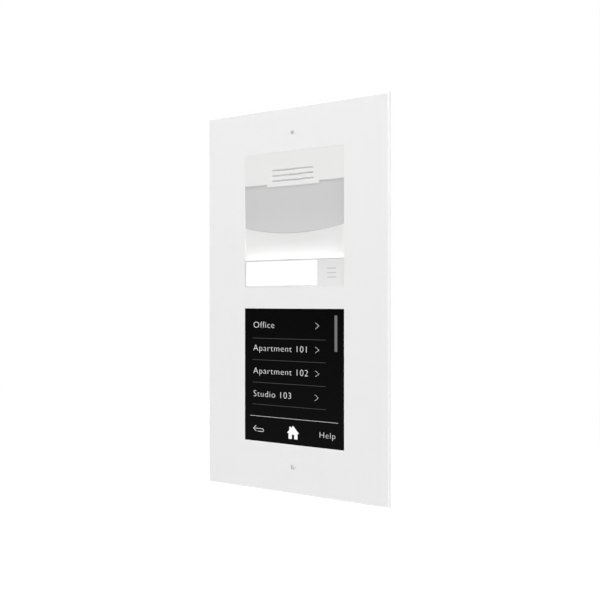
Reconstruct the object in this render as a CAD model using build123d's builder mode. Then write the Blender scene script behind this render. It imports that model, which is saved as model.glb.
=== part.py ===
from build123d import *
import math
import os

# Flush-mounted video door station: a white cover plate over a camera module and a display module.
# Frame: X to the right, Z up, Y into the wall. The wall's surface is y = 0 and the front faces -Y.
# The origin is the middle of the cover plate's back face. A "depth" below is a Y value.

# ---- Driving dimensions, in millimetres ----

PLATE_WIDTH = 168.0
PLATE_HEIGHT = 328.0
PLATE_THICKNESS = 4.5
PLATE_EDGE_RADIUS = 2.0
FRONT = -PLATE_THICKNESS

MODULE_PITCH = 133.1
MODULES_MIDDLE = 1.75
CAMERA_Z = MODULES_MIDDLE + MODULE_PITCH / 2
DISPLAY_Z = MODULES_MIDDLE - MODULE_PITCH / 2
MODULE_CENTRES = (CAMERA_Z, DISPLAY_Z)

WINDOW_WIDTH = 92.7
WINDOW_HEIGHT = 114.8
WINDOW_CORNER = 0.1
COVER_WIDTH = 92.64
COVER_HEIGHT = 114.74
COVER_WALL = 1.4
COVER_TOP = CAMERA_Z + COVER_HEIGHT / 2

# Depths of the stack behind the plate.
FLANGE_FRONT = 1.0
CARRIER_FRONT = 3.5
CARRIER_BACK = 6.0
BODY_BACK = 27.0
BOX_RIM = 0.3
BOX_BACK = 48.0

# Module housing: a flanged tray that clips into the carrier frame.
BODY_WIDTH = 94.4
BODY_HEIGHT = 116.4
BODY_WALL = 2.6
BODY_FLOOR = 1.8
FLANGE_WIDTH = 101.0
FLANGE_HEIGHT = 123.0
INNER_WIDTH = BODY_WIDTH - 2 * BODY_WALL
INNER_HEIGHT = BODY_HEIGHT - 2 * BODY_WALL
CHASSIS_POST_X = 35.0
CHASSIS_POST_Z = 52.2
BOARD_POST_X = 36.0
BOARD_POST_Z = 44.0
CAMERA_CHASSIS_FRONT = 7.0
CAMERA_CHASSIS_BACK = 9.0
DISPLAY_CHASSIS_FRONT = 2.4
DISPLAY_CHASSIS_BACK = 5.4
BOARD_FRONT = 16.0
BOARD_BACK = 17.6

# Wall box and carrier frame.
BOX_WIDTH = 136.0
BOX_HEIGHT = 310.0
BOX_WALL = 2.0
BOX_POST_X = 58.0
BOX_POST_Z = 138.0
ENTRY_RADIUS = 10.25
ENTRY_DEPTH = 34.0
BACK_HOLE_X = 45.0
BACK_HOLE_Z = 100.0
BACK_HOLE_RADIUS = 2.25
CARRIER_WIDTH = 130.0
CARRIER_HEIGHT = 304.0
CARRIER_WINDOW_WIDTH = 95.0
CARRIER_WINDOW_HEIGHT = 117.0

# Security screws of the cover plate.
SECURITY_Z = 141.0
SECURITY_HEAD_RADIUS = 4.0
SECURITY_HEAD_HEIGHT = 2.6
SECURITY_SHANK_RADIUS = 2.0
SECURITY_SQUARE = 3.3
SECURITY_SQUARE_DEPTH = 1.2

# Speaker cover, camera window and fairing.
SPEAKER_COVER_BOTTOM = 99.05
SPEAKER_COVER_THICKNESS = 1.15
SPEAKER_COVER_ROUNDING = 0.2
TAB_HALF_WIDTH = 24.3
TAB_BOTTOM = 96.8
SLOT_LENGTH = 38.0
SLOT_HEIGHT = 1.1
SLOT_BEVEL = 0.6
SLOT_PITCH = 4.5
SLOT_MIDDLE = 106.0
SPEAKER_Z = 110.6
SPEAKER_WIDTH = 44.0
SPEAKER_HEIGHT = 20.6
CAMERA_WINDOW_TOP = 100.0
CAMERA_WINDOW_FRONT = FRONT + 1.2
CAMERA_WINDOW_SAG = 0.3
CAMERA_WINDOW_BACK = -1.1
ARC_LOW = 56.7
ARC_RADIUS = 189.0
FAIRING_BOTTOM = 34.0
FAIRING_FOOT_Z = 50.0
FAIRING_FOOT = FRONT + 1.6
FAIRING_THICKNESS = 1.5
FAIRING_SHELF = 1.2
LENS_Z = 78.0

# Call key and its mechanism.
KEY_WIDTH = 92.3
KEY_BOTTOM = 11.05
KEY_TOP = 33.85
KEY_FRONT = FRONT + 0.35
KEY_BACK = -0.8
KEY_EDGE_RADIUS = 0.15
KEY_CORNER = 0.3
KEY_PIVOT_X = -41.5
KEY_PIVOT_Y = 2.9
KEY_TIP_DEGREES = 1.0
LABEL_LEFT = -44.8
LABEL_RIGHT = 22.3
LABEL_BOTTOM = 12.4
LABEL_TOP = 32.8
LABEL_CLEARANCE = 0.05
NAME_WINDOW_THICKNESS = 1.2
LABEL_THICKNESS = 0.25
DIFFUSER_THICKNESS = 1.0
PIN_RADIUS = 1.0
PIN_CLEARANCE = 0.03
EAR_RADIUS = 2.4
GROOVE_X = 35.35
GROOVE_LENGTH = 8.1
GROOVE_HEIGHT = 1.0
GROOVE_DEPTH = 0.4
GROOVE_PITCH = 3.65
GROOVE_MIDDLE = 22.3
KEY_HOLLOW_FRONT = -2.3
PLUNGER_X = 26.0
PLUNGER_RADIUS = 1.2
PLUNGER_TIP = 1.08
SPRING_X = 35.0
SPRING_RADIUS = 2.6
SPRING_WIRE = 0.45
SPRING_TURNS = 6
MECHANISM_Z = 24.6
KEY_BOARD_FRONT = 5.8

# Display stack.
GLASS_FRONT = FRONT + 0.15
GLASS_THICKNESS = 1.8
GLASS_CORNER = 0.1
GLASS_CHAMFER = 0.06
TAPE_THICKNESS = 0.3
LCD_WIDTH = 85.6
LCD_HEIGHT = 109.2
LCD_THICKNESS = 1.6
BACKLIGHT_BACK = 1.6

# Link between the modules.
LINK_WIDTH = 12.0
LINK_THICKNESS = 1.2
LINK_OFFSET = 46.5
CONNECTOR_BACK = 28.0
LINK_BEND = 4.5
LINK_REACH = 34.0
TERMINAL_OFFSET = 30.0
TERMINAL_BACK = 29.0


# ---- Shared shapes ----


def facing(depth):
    """A sketch plane parallel to the wall at this depth, with X right, Z up and its normal to the front."""
    return Plane.XZ.offset(-depth)


def slab(width, height, front, back, at=(0, 0), corner=0.0, mode=Mode.ADD):
    """A rectangular slab between two depths, centred at (x, z)."""
    with BuildSketch(facing(back)) as outline:
        with Locations(at):
            if corner:
                RectangleRounded(width, height, corner)
            else:
                Rectangle(width, height)
    extrude(outline.sketch, amount=back - front, mode=mode)


def span(left, right, bottom, top, front, back, mode=Mode.ADD):
    """A rectangular slab between two depths, given by its four sides."""
    slab(right - left, top - bottom, front, back, ((left + right) / 2, (bottom + top) / 2), mode=mode)


def post(radius, front, back, at, mode=Mode.ADD):
    """A round post, or a round hole, between two depths."""
    with BuildSketch(facing(back)) as outline:
        with Locations(at):
            Circle(radius)
    extrude(outline.sketch, amount=back - front, mode=mode)


def corners(x, z, middle=0.0):
    """The four corners of a rectangle of half sizes x and z, round a height."""
    return [(side * x, middle + end * z) for side in (-1, 1) for end in (-1, 1)]


def pan_screws(places, seat, head_radius, head_height, shank_radius, length):
    """Pan-head screws with a cross recess, their heads seated at one depth."""
    arm = head_radius * 1.1
    for place in places:
        post(head_radius, seat - head_height, seat, place)
        post(shank_radius, seat, seat + length, place)
        recess = seat - head_height + head_height * 0.6
        slab(arm, arm * 0.25, seat - head_height, recess, place, mode=Mode.SUBTRACT)
        slab(arm * 0.25, arm, seat - head_height, recess, place, mode=Mode.SUBTRACT)


def cut_past_arc(low, reach):
    """Cuts away what lies past the arc that bounds the camera window, its lowest point given.

    A negative reach cuts below the arc, and a positive one above it.
    """
    half = 60.0
    end = low + ARC_RADIUS - math.sqrt(ARC_RADIUS**2 - half**2)
    far = end + reach
    with BuildSketch(facing(FLANGE_FRONT)) as region:
        with BuildLine():
            ThreePointArc((-half, end), (0, low), (half, end))
            Polyline((half, end), (half, far), (-half, far), (-half, end))
        make_face()
    extrude(region.sketch, amount=FLANGE_FRONT - FRONT, mode=Mode.SUBTRACT)


def module_housing(middle, chassis_back, openings):
    """Moulded tray of one module: flange, walls, floor, posts and snap clips, with openings in its floor."""
    with BuildPart() as housing:
        slab(FLANGE_WIDTH, FLANGE_HEIGHT, FLANGE_FRONT, CARRIER_FRONT, (0, middle), corner=2.0)
        slab(BODY_WIDTH, BODY_HEIGHT, CARRIER_FRONT, BODY_BACK, (0, middle))
        floor = BODY_BACK - BODY_FLOOR
        slab(INNER_WIDTH, INNER_HEIGHT, FLANGE_FRONT, floor, (0, middle), mode=Mode.SUBTRACT)
        for place in corners(CHASSIS_POST_X, CHASSIS_POST_Z, middle):
            post(2.6, chassis_back, floor, place)
            post(1.25, chassis_back, chassis_back + 8, place, mode=Mode.SUBTRACT)
        for place in corners(BOARD_POST_X, BOARD_POST_Z, middle):
            post(2.5, BOARD_BACK, floor, place)
            post(0.95, BOARD_BACK, BOARD_BACK + 6, place, mode=Mode.SUBTRACT)
        for side in (-1, 1):
            for height in (-30, 30):
                clip = (side * (BODY_WIDTH / 2 + 0.5), middle + height)
                slab(1.0, 8.0, CARRIER_BACK + 0.2, CARRIER_BACK + 2.4, clip)
        for width, height, place in openings:
            slab(width, height, floor, BODY_BACK, place, mode=Mode.SUBTRACT)
    return housing


def circuit_board(middle):
    """Main circuit board of one module, with its four screw holes."""
    with BuildPart() as board:
        slab(84.0, 98.0, BOARD_FRONT, BOARD_BACK, (0, middle), corner=1.5)
        for place in corners(BOARD_POST_X, BOARD_POST_Z, middle):
            post(1.1, BOARD_FRONT, BOARD_BACK, place, mode=Mode.SUBTRACT)
    return board


def chassis_plate(middle, front, back):
    """Inner chassis plate of one module, with its four screw holes; the caller cuts the rest."""
    slab(INNER_WIDTH - 0.6, INNER_HEIGHT - 0.6, front, back, (0, middle), corner=1.0)
    for place in corners(CHASSIS_POST_X, CHASSIS_POST_Z, middle):
        post(1.3, front, back, place, mode=Mode.SUBTRACT)


# ---- On the wall: plate, seals, carrier frame and box ----

SECURITY_PLACES = [(0, SECURITY_Z), (0, -SECURITY_Z)]
SEAL_OUTER = (PLATE_WIDTH - 7.0, PLATE_HEIGHT - 7.0)
SEAL_INNER = (PLATE_WIDTH - 13.0, PLATE_HEIGHT - 13.0)
SEAL_DEPTH = 1.2
HEAD_GAP = 0.03
SHANK_GAP = 0.15

# Cover plate: one flat casting with two windows, rounded front edges and a seal groove in its back.
with BuildPart() as cover_plate:
    slab(PLATE_WIDTH, PLATE_HEIGHT, FRONT, 0)
    fillet(faces().sort_by(Axis.Y)[0].edges(), PLATE_EDGE_RADIUS)
    for middle in MODULE_CENTRES:
        slab(WINDOW_WIDTH, WINDOW_HEIGHT, FRONT, 0, (0, middle), WINDOW_CORNER, Mode.SUBTRACT)
    for place in SECURITY_PLACES:
        head_seat = FRONT + SECURITY_HEAD_HEIGHT
        post(SECURITY_HEAD_RADIUS + HEAD_GAP, FRONT, head_seat, place, Mode.SUBTRACT)
        post(SECURITY_SHANK_RADIUS + SHANK_GAP, head_seat, 0, place, Mode.SUBTRACT)
    with BuildSketch(facing(0)):
        Rectangle(*SEAL_OUTER)
        Rectangle(*SEAL_INNER, mode=Mode.SUBTRACT)
    extrude(amount=SEAL_DEPTH, mode=Mode.SUBTRACT)

# Foam cord in the plate's groove, against the wall.
with BuildPart() as wall_seal:
    slab(*SEAL_OUTER, -SEAL_DEPTH, 0)
    slab(*SEAL_INNER, -SEAL_DEPTH, 0, mode=Mode.SUBTRACT)

# Two security screws with a square recess. Their heads lie flush in the plate.
with BuildPart() as security_screws:
    for place in SECURITY_PLACES:
        head_seat = FRONT + SECURITY_HEAD_HEIGHT
        post(SECURITY_HEAD_RADIUS, FRONT, head_seat, place)
        post(SECURITY_SHANK_RADIUS, head_seat, CARRIER_BACK + 2, place)
        square_floor = FRONT + SECURITY_SQUARE_DEPTH
        slab(SECURITY_SQUARE, SECURITY_SQUARE, FRONT, square_floor, place, mode=Mode.SUBTRACT)

# Foam ring between each module's flange and the back of the plate.
with BuildPart() as module_seals:
    for middle in MODULE_CENTRES:
        slab(FLANGE_WIDTH - 2, FLANGE_HEIGHT - 2, 0, FLANGE_FRONT, (0, middle))
        slab(WINDOW_WIDTH + 0.8, WINDOW_HEIGHT + 0.8, 0, FLANGE_FRONT, (0, middle), mode=Mode.SUBTRACT)

# Carrier frame: a pressed frame on the box's posts. The modules clip into its two windows.
with BuildPart() as carrier_frame:
    slab(CARRIER_WIDTH, CARRIER_HEIGHT, CARRIER_FRONT, CARRIER_BACK, corner=3.0)
    slab(CARRIER_WIDTH - 2, CARRIER_HEIGHT - 2, CARRIER_BACK, CARRIER_BACK + 3)
    slab(CARRIER_WIDTH - 5, CARRIER_HEIGHT - 5, CARRIER_BACK, CARRIER_BACK + 3, mode=Mode.SUBTRACT)
    for middle in MODULE_CENTRES:
        slab(CARRIER_WINDOW_WIDTH, CARRIER_WINDOW_HEIGHT, CARRIER_FRONT, CARRIER_BACK,
             (0, middle), mode=Mode.SUBTRACT)
    for place in SECURITY_PLACES:
        post(4.5, 0.4, CARRIER_BACK, place)
        post(SECURITY_SHANK_RADIUS + 0.02, 0.4, CARRIER_BACK, place, Mode.SUBTRACT)
    for place in corners(BOX_POST_X, BOX_POST_Z):
        post(1.85, CARRIER_FRONT, CARRIER_BACK, place, Mode.SUBTRACT)

with BuildPart() as carrier_screws:
    pan_screws(corners(BOX_POST_X, BOX_POST_Z), CARRIER_FRONT, 3.4, 2.2, 1.7, 12.0)

# Wall box: a moulded flush box with ribs and plaster lugs outside, a cable entry at each end, knock-out
# rings for more entries, and four fixing holes in its back.
RIB_HEIGHTS = (-116.0, -58.0, 0.0, 58.0, 116.0)
LUG_HEIGHTS = (-87.0, 87.0)
RING_DEPTH = 0.5
RING_WIDTH = 0.7


def knock_out_rings(plane, places, inwards):
    """Engraves a ring round each place on one outer face of the wall box."""
    with BuildSketch(plane) as rings:
        with Locations(*places):
            Circle(ENTRY_RADIUS)
            Circle(ENTRY_RADIUS - RING_WIDTH, mode=Mode.SUBTRACT)
    extrude(rings.sketch, amount=inwards * RING_DEPTH, mode=Mode.SUBTRACT)


with BuildPart() as wall_box:
    slab(BOX_WIDTH, BOX_HEIGHT, BOX_RIM, BOX_BACK, corner=4.0)
    for z in RIB_HEIGHTS:
        slab(BOX_WIDTH + 2.4, 1.8, 8.0, BOX_BACK - 3, (0, z))
    for z in LUG_HEIGHTS:
        slab(BOX_WIDTH + 7.0, 12.0, 5.0, 7.5, (0, z), corner=2.0)
    slab(BOX_WIDTH - 2 * BOX_WALL, BOX_HEIGHT - 2 * BOX_WALL, BOX_RIM, BOX_BACK - BOX_WALL,
         corner=2.5, mode=Mode.SUBTRACT)
    for place in corners(BOX_POST_X, BOX_POST_Z):
        post(4.5, CARRIER_BACK, BOX_BACK - BOX_WALL, place)
        post(1.75, CARRIER_BACK, CARRIER_BACK + 14, place, Mode.SUBTRACT)
    for place in corners(BACK_HOLE_X, BACK_HOLE_Z):
        post(BACK_HOLE_RADIUS, BOX_BACK - BOX_WALL, BOX_BACK, place, Mode.SUBTRACT)
    with BuildSketch(Plane.XY.offset(-BOX_HEIGHT)):
        with Locations((0, ENTRY_DEPTH)):
            Circle(ENTRY_RADIUS)
    extrude(amount=2 * BOX_HEIGHT, mode=Mode.SUBTRACT)
    knock_out_rings(facing(BOX_BACK), [(0, -50), (0, 50)], 1)
    for side in (-1, 1):
        side_face = Plane.YZ.offset(side * BOX_WIDTH / 2)
        knock_out_rings(side_face, [(26, -29), (26, 29)], -side)
        end_face = Plane.XY.offset(side * BOX_HEIGHT / 2)
        knock_out_rings(end_face, [(-42, 26), (42, 26)], -side)

# ---- Camera module ----

TERMINAL_PLACE = (0, CAMERA_Z - TERMINAL_OFFSET)
CAMERA_LINK_PLACE = (0, CAMERA_Z - LINK_OFFSET)
DISPLAY_LINK_PLACE = (0, DISPLAY_Z + LINK_OFFSET)

camera_module_housing = module_housing(
    CAMERA_Z, CAMERA_CHASSIS_BACK, [(36.0, 15.0, TERMINAL_PLACE), (18.0, 8.0, CAMERA_LINK_PLACE)])

# Speaker cover: a white moulded cap with three bevelled slots and a tab over the camera window.
with BuildPart() as speaker_cover:
    half = COVER_WIDTH / 2
    cover_back = FRONT + SPEAKER_COVER_THICKNESS
    skirt_bottom = CAMERA_WINDOW_TOP + 0.3
    span(-half, half, SPEAKER_COVER_BOTTOM, COVER_TOP, FRONT, cover_back)
    span(-half, half, skirt_bottom, COVER_TOP, cover_back, FLANGE_FRONT)
    inner = half - COVER_WALL
    span(-inner, inner, SPEAKER_COVER_BOTTOM - 1, COVER_TOP - COVER_WALL, cover_back, FLANGE_FRONT,
         Mode.SUBTRACT)
    outer_edges = faces().sort_by(Axis.Y)[0].edges().filter_by(
        lambda edge: edge.center().Z > SPEAKER_COVER_BOTTOM + 0.1)
    fillet(outer_edges, SPEAKER_COVER_ROUNDING)
    span(-TAB_HALF_WIDTH, TAB_HALF_WIDTH, TAB_BOTTOM, SPEAKER_COVER_BOTTOM, FRONT, cover_back)
    for step in (-1, 0, 1):
        top = SLOT_MIDDLE + step * SLOT_PITCH + SLOT_HEIGHT / 2
        bottom = top - SLOT_HEIGHT
        with BuildSketch(Plane.YZ):
            with BuildLine():
                Polyline((FRONT, top), (cover_back, top), (cover_back, bottom),
                         (FRONT + SLOT_BEVEL, bottom), (FRONT, bottom - SLOT_BEVEL), close=True)
            make_face()
        extrude(amount=SLOT_LENGTH / 2, both=True, mode=Mode.SUBTRACT)

# Speaker: dust mesh, foam gasket, moulded basket, oval cone and round magnet.
MESH_BACK = FRONT + SPEAKER_COVER_THICKNESS + 0.3
SPEAKER_FRONT = -1.5
SPEAKER_PLACE = (0, SPEAKER_Z)

with BuildPart() as speaker_mesh:
    slab(SPEAKER_WIDTH - 1, SPEAKER_HEIGHT - 0.6, MESH_BACK - 0.3, MESH_BACK, SPEAKER_PLACE)

with BuildPart() as speaker_gasket:
    slab(SPEAKER_WIDTH, SPEAKER_HEIGHT, MESH_BACK, SPEAKER_FRONT, SPEAKER_PLACE)
    slab(SPEAKER_WIDTH - 4, SPEAKER_HEIGHT - 1.4, MESH_BACK, SPEAKER_FRONT, SPEAKER_PLACE,
         mode=Mode.SUBTRACT)

with BuildPart() as speaker_frame:
    slab(SPEAKER_WIDTH, SPEAKER_HEIGHT, SPEAKER_FRONT, CAMERA_CHASSIS_FRONT, SPEAKER_PLACE)
    slab(SPEAKER_WIDTH - 2, SPEAKER_HEIGHT - 2, SPEAKER_FRONT, 3.0, SPEAKER_PLACE, mode=Mode.SUBTRACT)
    post(7.1, 3.0, CAMERA_CHASSIS_FRONT, SPEAKER_PLACE, Mode.SUBTRACT)

with BuildPart() as speaker_magnet:
    post(7.0, 3.4, 12.0, SPEAKER_PLACE)

CONE_RIM = -1.2
CONE_FLOOR = 2.6
CONE_WALL = 0.5


def cone_loft(shift, mode):
    """The oval dish of the speaker cone, filled, moved forward by the shift."""
    with BuildSketch(facing(CONE_RIM - shift)) as rim:
        with Locations(SPEAKER_PLACE):
            Ellipse(19.8, 8.6)
    with BuildSketch(facing(CONE_FLOOR - shift)) as floor:
        with Locations(SPEAKER_PLACE):
            Ellipse(6.0, 5.0)
    loft([rim.sketch.faces()[0], floor.sketch.faces()[0]], mode=mode)


with BuildPart() as speaker_cone:
    cone_loft(0.0, Mode.ADD)
    cone_loft(CONE_WALL, Mode.SUBTRACT)

# Camera window: pale tinted polycarbonate, gently convex, with side walls that stand on the flange.
with BuildPart() as camera_window:
    half = COVER_WIDTH / 2
    inner = half - COVER_WALL
    side_front = CAMERA_WINDOW_FRONT + CAMERA_WINDOW_SAG
    with BuildSketch(Plane.XY.offset(ARC_LOW - 5)):
        with BuildLine():
            ThreePointArc((-half, side_front), (0, CAMERA_WINDOW_FRONT), (half, side_front))
            Polyline((half, side_front), (half, FLANGE_FRONT), (inner, FLANGE_FRONT),
                     (inner, CAMERA_WINDOW_BACK), (-inner, CAMERA_WINDOW_BACK),
                     (-inner, FLANGE_FRONT), (-half, FLANGE_FRONT), (-half, side_front))
        make_face()
    extrude(amount=CAMERA_WINDOW_TOP - ARC_LOW + 5)
    cut_past_arc(ARC_LOW, -40)

# Fairing: a white moulding that scoops forward from the foot of the window to a lip above the key.
with BuildPart() as camera_fairing:
    half = COVER_WIDTH / 2
    high = ARC_LOW + 8
    with BuildSketch(Plane.YZ):
        with BuildLine():
            TangentArc((FAIRING_FOOT, FAIRING_FOOT_Z), (FRONT, FAIRING_BOTTOM), tangent=(0, -1))
            Polyline((FRONT, FAIRING_BOTTOM), (FLANGE_FRONT, FAIRING_BOTTOM), (FLANGE_FRONT, high),
                     (FAIRING_FOOT, high), (FAIRING_FOOT, FAIRING_FOOT_Z))
        make_face()
    extrude(amount=half, both=True)
    inner_foot = FAIRING_FOOT + FAIRING_THICKNESS
    inner_lip = FRONT + FAIRING_THICKNESS
    shelf = FAIRING_BOTTOM + FAIRING_SHELF
    with BuildSketch(Plane.YZ):
        with BuildLine():
            TangentArc((inner_foot, FAIRING_FOOT_Z), (inner_lip, shelf), tangent=(0, -1))
            Polyline((inner_lip, shelf), (FLANGE_FRONT, shelf), (FLANGE_FRONT, high),
                     (inner_foot, high), (inner_foot, FAIRING_FOOT_Z))
        make_face()
    extrude(amount=half - COVER_WALL, both=True, mode=Mode.SUBTRACT)
    cut_past_arc(ARC_LOW - 0.1, 40)

# Camera: board, lens holder, threaded barrel, front element, sensor and six white lights.
CAMERA_BOARD_FRONT = 5.8
LENS_PLACE = (0, LENS_Z)
LENS_BARREL_FRONT = -0.6
LENS_BARREL_BACK = 4.6
LENS_BARREL_RADIUS = 6.0
LENS_RADIUS = 4.0
CAMERA_SCREW_PLACES = corners(13.0, 13.0, LENS_Z)

with BuildPart() as camera_board:
    slab(30.0, 30.0, CAMERA_BOARD_FRONT, CAMERA_CHASSIS_FRONT, LENS_PLACE, corner=1.0)
    for place in CAMERA_SCREW_PLACES:
        post(1.0, CAMERA_BOARD_FRONT, CAMERA_CHASSIS_FRONT, place, Mode.SUBTRACT)

with BuildPart() as camera_board_screws:
    pan_screws(CAMERA_SCREW_PLACES, CAMERA_BOARD_FRONT, 1.6, 1.2, 0.9, 3.0)

with BuildPart() as lens_holder:
    slab(16.0, 16.0, 2.0, CAMERA_BOARD_FRONT, LENS_PLACE, corner=1.0)
    post(LENS_BARREL_RADIUS + 0.05, 2.0, CAMERA_BOARD_FRONT, LENS_PLACE, Mode.SUBTRACT)

with BuildPart() as lens_barrel:
    post(LENS_BARREL_RADIUS, LENS_BARREL_FRONT, LENS_BARREL_BACK, LENS_PLACE)
    post(LENS_RADIUS + 0.05, LENS_BARREL_FRONT, 2.0, LENS_PLACE, Mode.SUBTRACT)
    post(2.5, 2.0, LENS_BARREL_BACK, LENS_PLACE, Mode.SUBTRACT)

# The front element is a disc with a domed face, turned about the lens axis.
with BuildPart() as lens_glass:
    with BuildSketch(Plane.YZ):
        with BuildLine():
            ThreePointArc((0.0, LENS_Z), (0.2, LENS_Z + LENS_RADIUS / 2), (0.8, LENS_Z + LENS_RADIUS))
            Polyline((0.8, LENS_Z + LENS_RADIUS), (2.0, LENS_Z + LENS_RADIUS), (2.0, LENS_Z),
                     (0.0, LENS_Z))
        make_face()
    revolve(axis=Axis((0, 0, LENS_Z), (0, 1, 0)))

with BuildPart() as image_sensor:
    slab(7.0, 7.0, 4.9, CAMERA_BOARD_FRONT, LENS_PLACE)

with BuildPart() as night_light_leds:
    for side in (-12.0, 12.0):
        for step in (-7.0, 0.0, 7.0):
            slab(3.0, 3.0, 4.8, CAMERA_BOARD_FRONT, (side, LENS_Z + step), corner=0.4)

# Microphone in its rubber boot, behind the gap under the fairing's lip.
MICROPHONE_PLACE = (20.0, 41.0)

with BuildPart() as microphone_boot:
    slab(10.0, 9.0, 1.5, CAMERA_CHASSIS_FRONT, MICROPHONE_PLACE, corner=1.5)
    post(3.0, 1.5, 4.2, MICROPHONE_PLACE, Mode.SUBTRACT)

with BuildPart() as microphone:
    post(2.98, 1.5, 4.2, MICROPHONE_PLACE)

# Chassis of the camera module: carries the speaker, the camera, the microphone and the key's hinge.
HOUSING_EAR_BOTTOMS = (15.5, 27.4)
HOUSING_EAR_HEIGHT = 2.5
KEY_EAR_BOTTOMS = (13.2, 30.2)
KEY_EAR_HEIGHT = 2.0
HOOK_LEFT = 41.6
HOOK_RIGHT = 43.4
HOOK_BOTTOM = 22.0
HOOK_TOP = 27.0


def ear(bottom, height, root):
    """A hinge ear round the key's pivot, rounded at its free end and squared off at its root depth."""
    with BuildSketch(Plane.XY.offset(bottom)) as outline:
        with Locations((KEY_PIVOT_X, KEY_PIVOT_Y)):
            Circle(EAR_RADIUS)
        with Locations((KEY_PIVOT_X, (KEY_PIVOT_Y + root) / 2)):
            Rectangle(2 * EAR_RADIUS, abs(root - KEY_PIVOT_Y))
    extrude(outline.sketch, amount=height)


def pivot_bore(radius):
    """Cuts the pivot's bore through every ear of the piece."""
    with BuildSketch(Plane.XY.offset(KEY_BOTTOM)) as bore:
        with Locations((KEY_PIVOT_X, KEY_PIVOT_Y)):
            Circle(radius)
    extrude(bore.sketch, amount=KEY_TOP - KEY_BOTTOM, mode=Mode.SUBTRACT)


with BuildPart() as camera_chassis:
    chassis_plate(CAMERA_Z, CAMERA_CHASSIS_FRONT, CAMERA_CHASSIS_BACK)
    post(8.0, CAMERA_CHASSIS_FRONT, CAMERA_CHASSIS_BACK, SPEAKER_PLACE, Mode.SUBTRACT)
    for place in CAMERA_SCREW_PLACES:
        post(0.95, CAMERA_CHASSIS_FRONT, CAMERA_CHASSIS_BACK, place, Mode.SUBTRACT)
    span(HOOK_LEFT - 2, INNER_WIDTH / 2, HOOK_BOTTOM - 0.8, HOOK_TOP + 0.8, CAMERA_CHASSIS_FRONT,
         CAMERA_CHASSIS_BACK, Mode.SUBTRACT)
    for bottom in HOUSING_EAR_BOTTOMS:
        ear(bottom, HOUSING_EAR_HEIGHT, CAMERA_CHASSIS_FRONT)
    pivot_bore(PIN_RADIUS)

with BuildPart() as camera_chassis_screws:
    pan_screws(corners(CHASSIS_POST_X, CHASSIS_POST_Z, CAMERA_Z), CAMERA_CHASSIS_FRONT, 2.2, 1.6, 1.2, 9.0)

# ---- Call key: one long sprung rocker with the nameplate in it ----

LABEL_PLACE = ((LABEL_LEFT + LABEL_RIGHT) / 2, (LABEL_BOTTOM + LABEL_TOP) / 2)
LABEL_WIDTH = LABEL_RIGHT - LABEL_LEFT
LABEL_HEIGHT = LABEL_TOP - LABEL_BOTTOM
NAME_WINDOW_BACK = KEY_FRONT + NAME_WINDOW_THICKNESS
LABEL_BACK = NAME_WINDOW_BACK + LABEL_THICKNESS
DIFFUSER_BACK = LABEL_BACK + DIFFUSER_THICKNESS
CONTACT_PAD_BACK = 1.0
CHASSIS_GAP = 0.1

with BuildPart() as call_key:
    half = KEY_WIDTH / 2
    span(-half, half, KEY_BOTTOM, KEY_TOP, KEY_FRONT, KEY_BACK)
    fillet(edges().filter_by(Axis.Y), KEY_CORNER)
    fillet(faces().sort_by(Axis.Y)[0].edges(), KEY_EDGE_RADIUS)
    slab(LABEL_WIDTH, LABEL_HEIGHT, KEY_FRONT, DIFFUSER_BACK, LABEL_PLACE, mode=Mode.SUBTRACT)
    slab(LABEL_WIDTH - 6, LABEL_HEIGHT - 6, DIFFUSER_BACK, KEY_BACK, LABEL_PLACE, mode=Mode.SUBTRACT)
    span(LABEL_RIGHT + 1.2, half - 1.4, KEY_BOTTOM + 1.5, KEY_TOP - 1.4, KEY_HOLLOW_FRONT, KEY_BACK,
         Mode.SUBTRACT)
    for step in (-1, 0, 1):
        place = (GROOVE_X, GROOVE_MIDDLE + step * GROOVE_PITCH)
        slab(GROOVE_LENGTH, GROOVE_HEIGHT, KEY_FRONT, KEY_FRONT + GROOVE_DEPTH, place, mode=Mode.SUBTRACT)
    post(2.0, KEY_HOLLOW_FRONT, CONTACT_PAD_BACK, (PLUNGER_X, MECHANISM_Z))
    for bottom in KEY_EAR_BOTTOMS:
        ear(bottom, KEY_EAR_HEIGHT, KEY_BACK)
    pivot_bore(PIN_RADIUS + PIN_CLEARANCE)
    barb_front = CAMERA_CHASSIS_BACK + CHASSIS_GAP
    span(HOOK_LEFT, HOOK_RIGHT, HOOK_BOTTOM, HOOK_TOP, KEY_HOLLOW_FRONT, barb_front + 1.2)
    span(HOOK_LEFT - 1.4, HOOK_LEFT, HOOK_BOTTOM, HOOK_TOP, barb_front, barb_front + 1.2)

with BuildPart() as nameplate_window:
    fit = 2 * LABEL_CLEARANCE
    slab(LABEL_WIDTH - fit, LABEL_HEIGHT - fit, KEY_FRONT, NAME_WINDOW_BACK, LABEL_PLACE)

with BuildPart() as name_label:
    slab(LABEL_WIDTH - 0.6, LABEL_HEIGHT - 0.6, NAME_WINDOW_BACK, LABEL_BACK, LABEL_PLACE)

with BuildPart() as label_diffuser:
    slab(LABEL_WIDTH - 0.4, LABEL_HEIGHT - 0.4, LABEL_BACK, DIFFUSER_BACK, LABEL_PLACE)

with BuildPart() as key_pivot_pin:
    with BuildSketch(Plane.XY.offset(KEY_EAR_BOTTOMS[0] - 0.3)):
        with Locations((KEY_PIVOT_X, KEY_PIVOT_Y)):
            Circle(PIN_RADIUS)
    extrude(amount=KEY_EAR_BOTTOMS[1] + KEY_EAR_HEIGHT - KEY_EAR_BOTTOMS[0] + 0.6)

# Board behind the key, with its switch and three label lights.
BOARD_TOP = 30.0
BOARD_BOTTOM = 19.3
SWITCH_FRONT = 2.5
SWITCH_PLACE = (PLUNGER_X, MECHANISM_Z)

with BuildPart() as key_board:
    span(-33.0, 38.5, BOARD_BOTTOM, BOARD_TOP, KEY_BOARD_FRONT, CAMERA_CHASSIS_FRONT)

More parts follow.
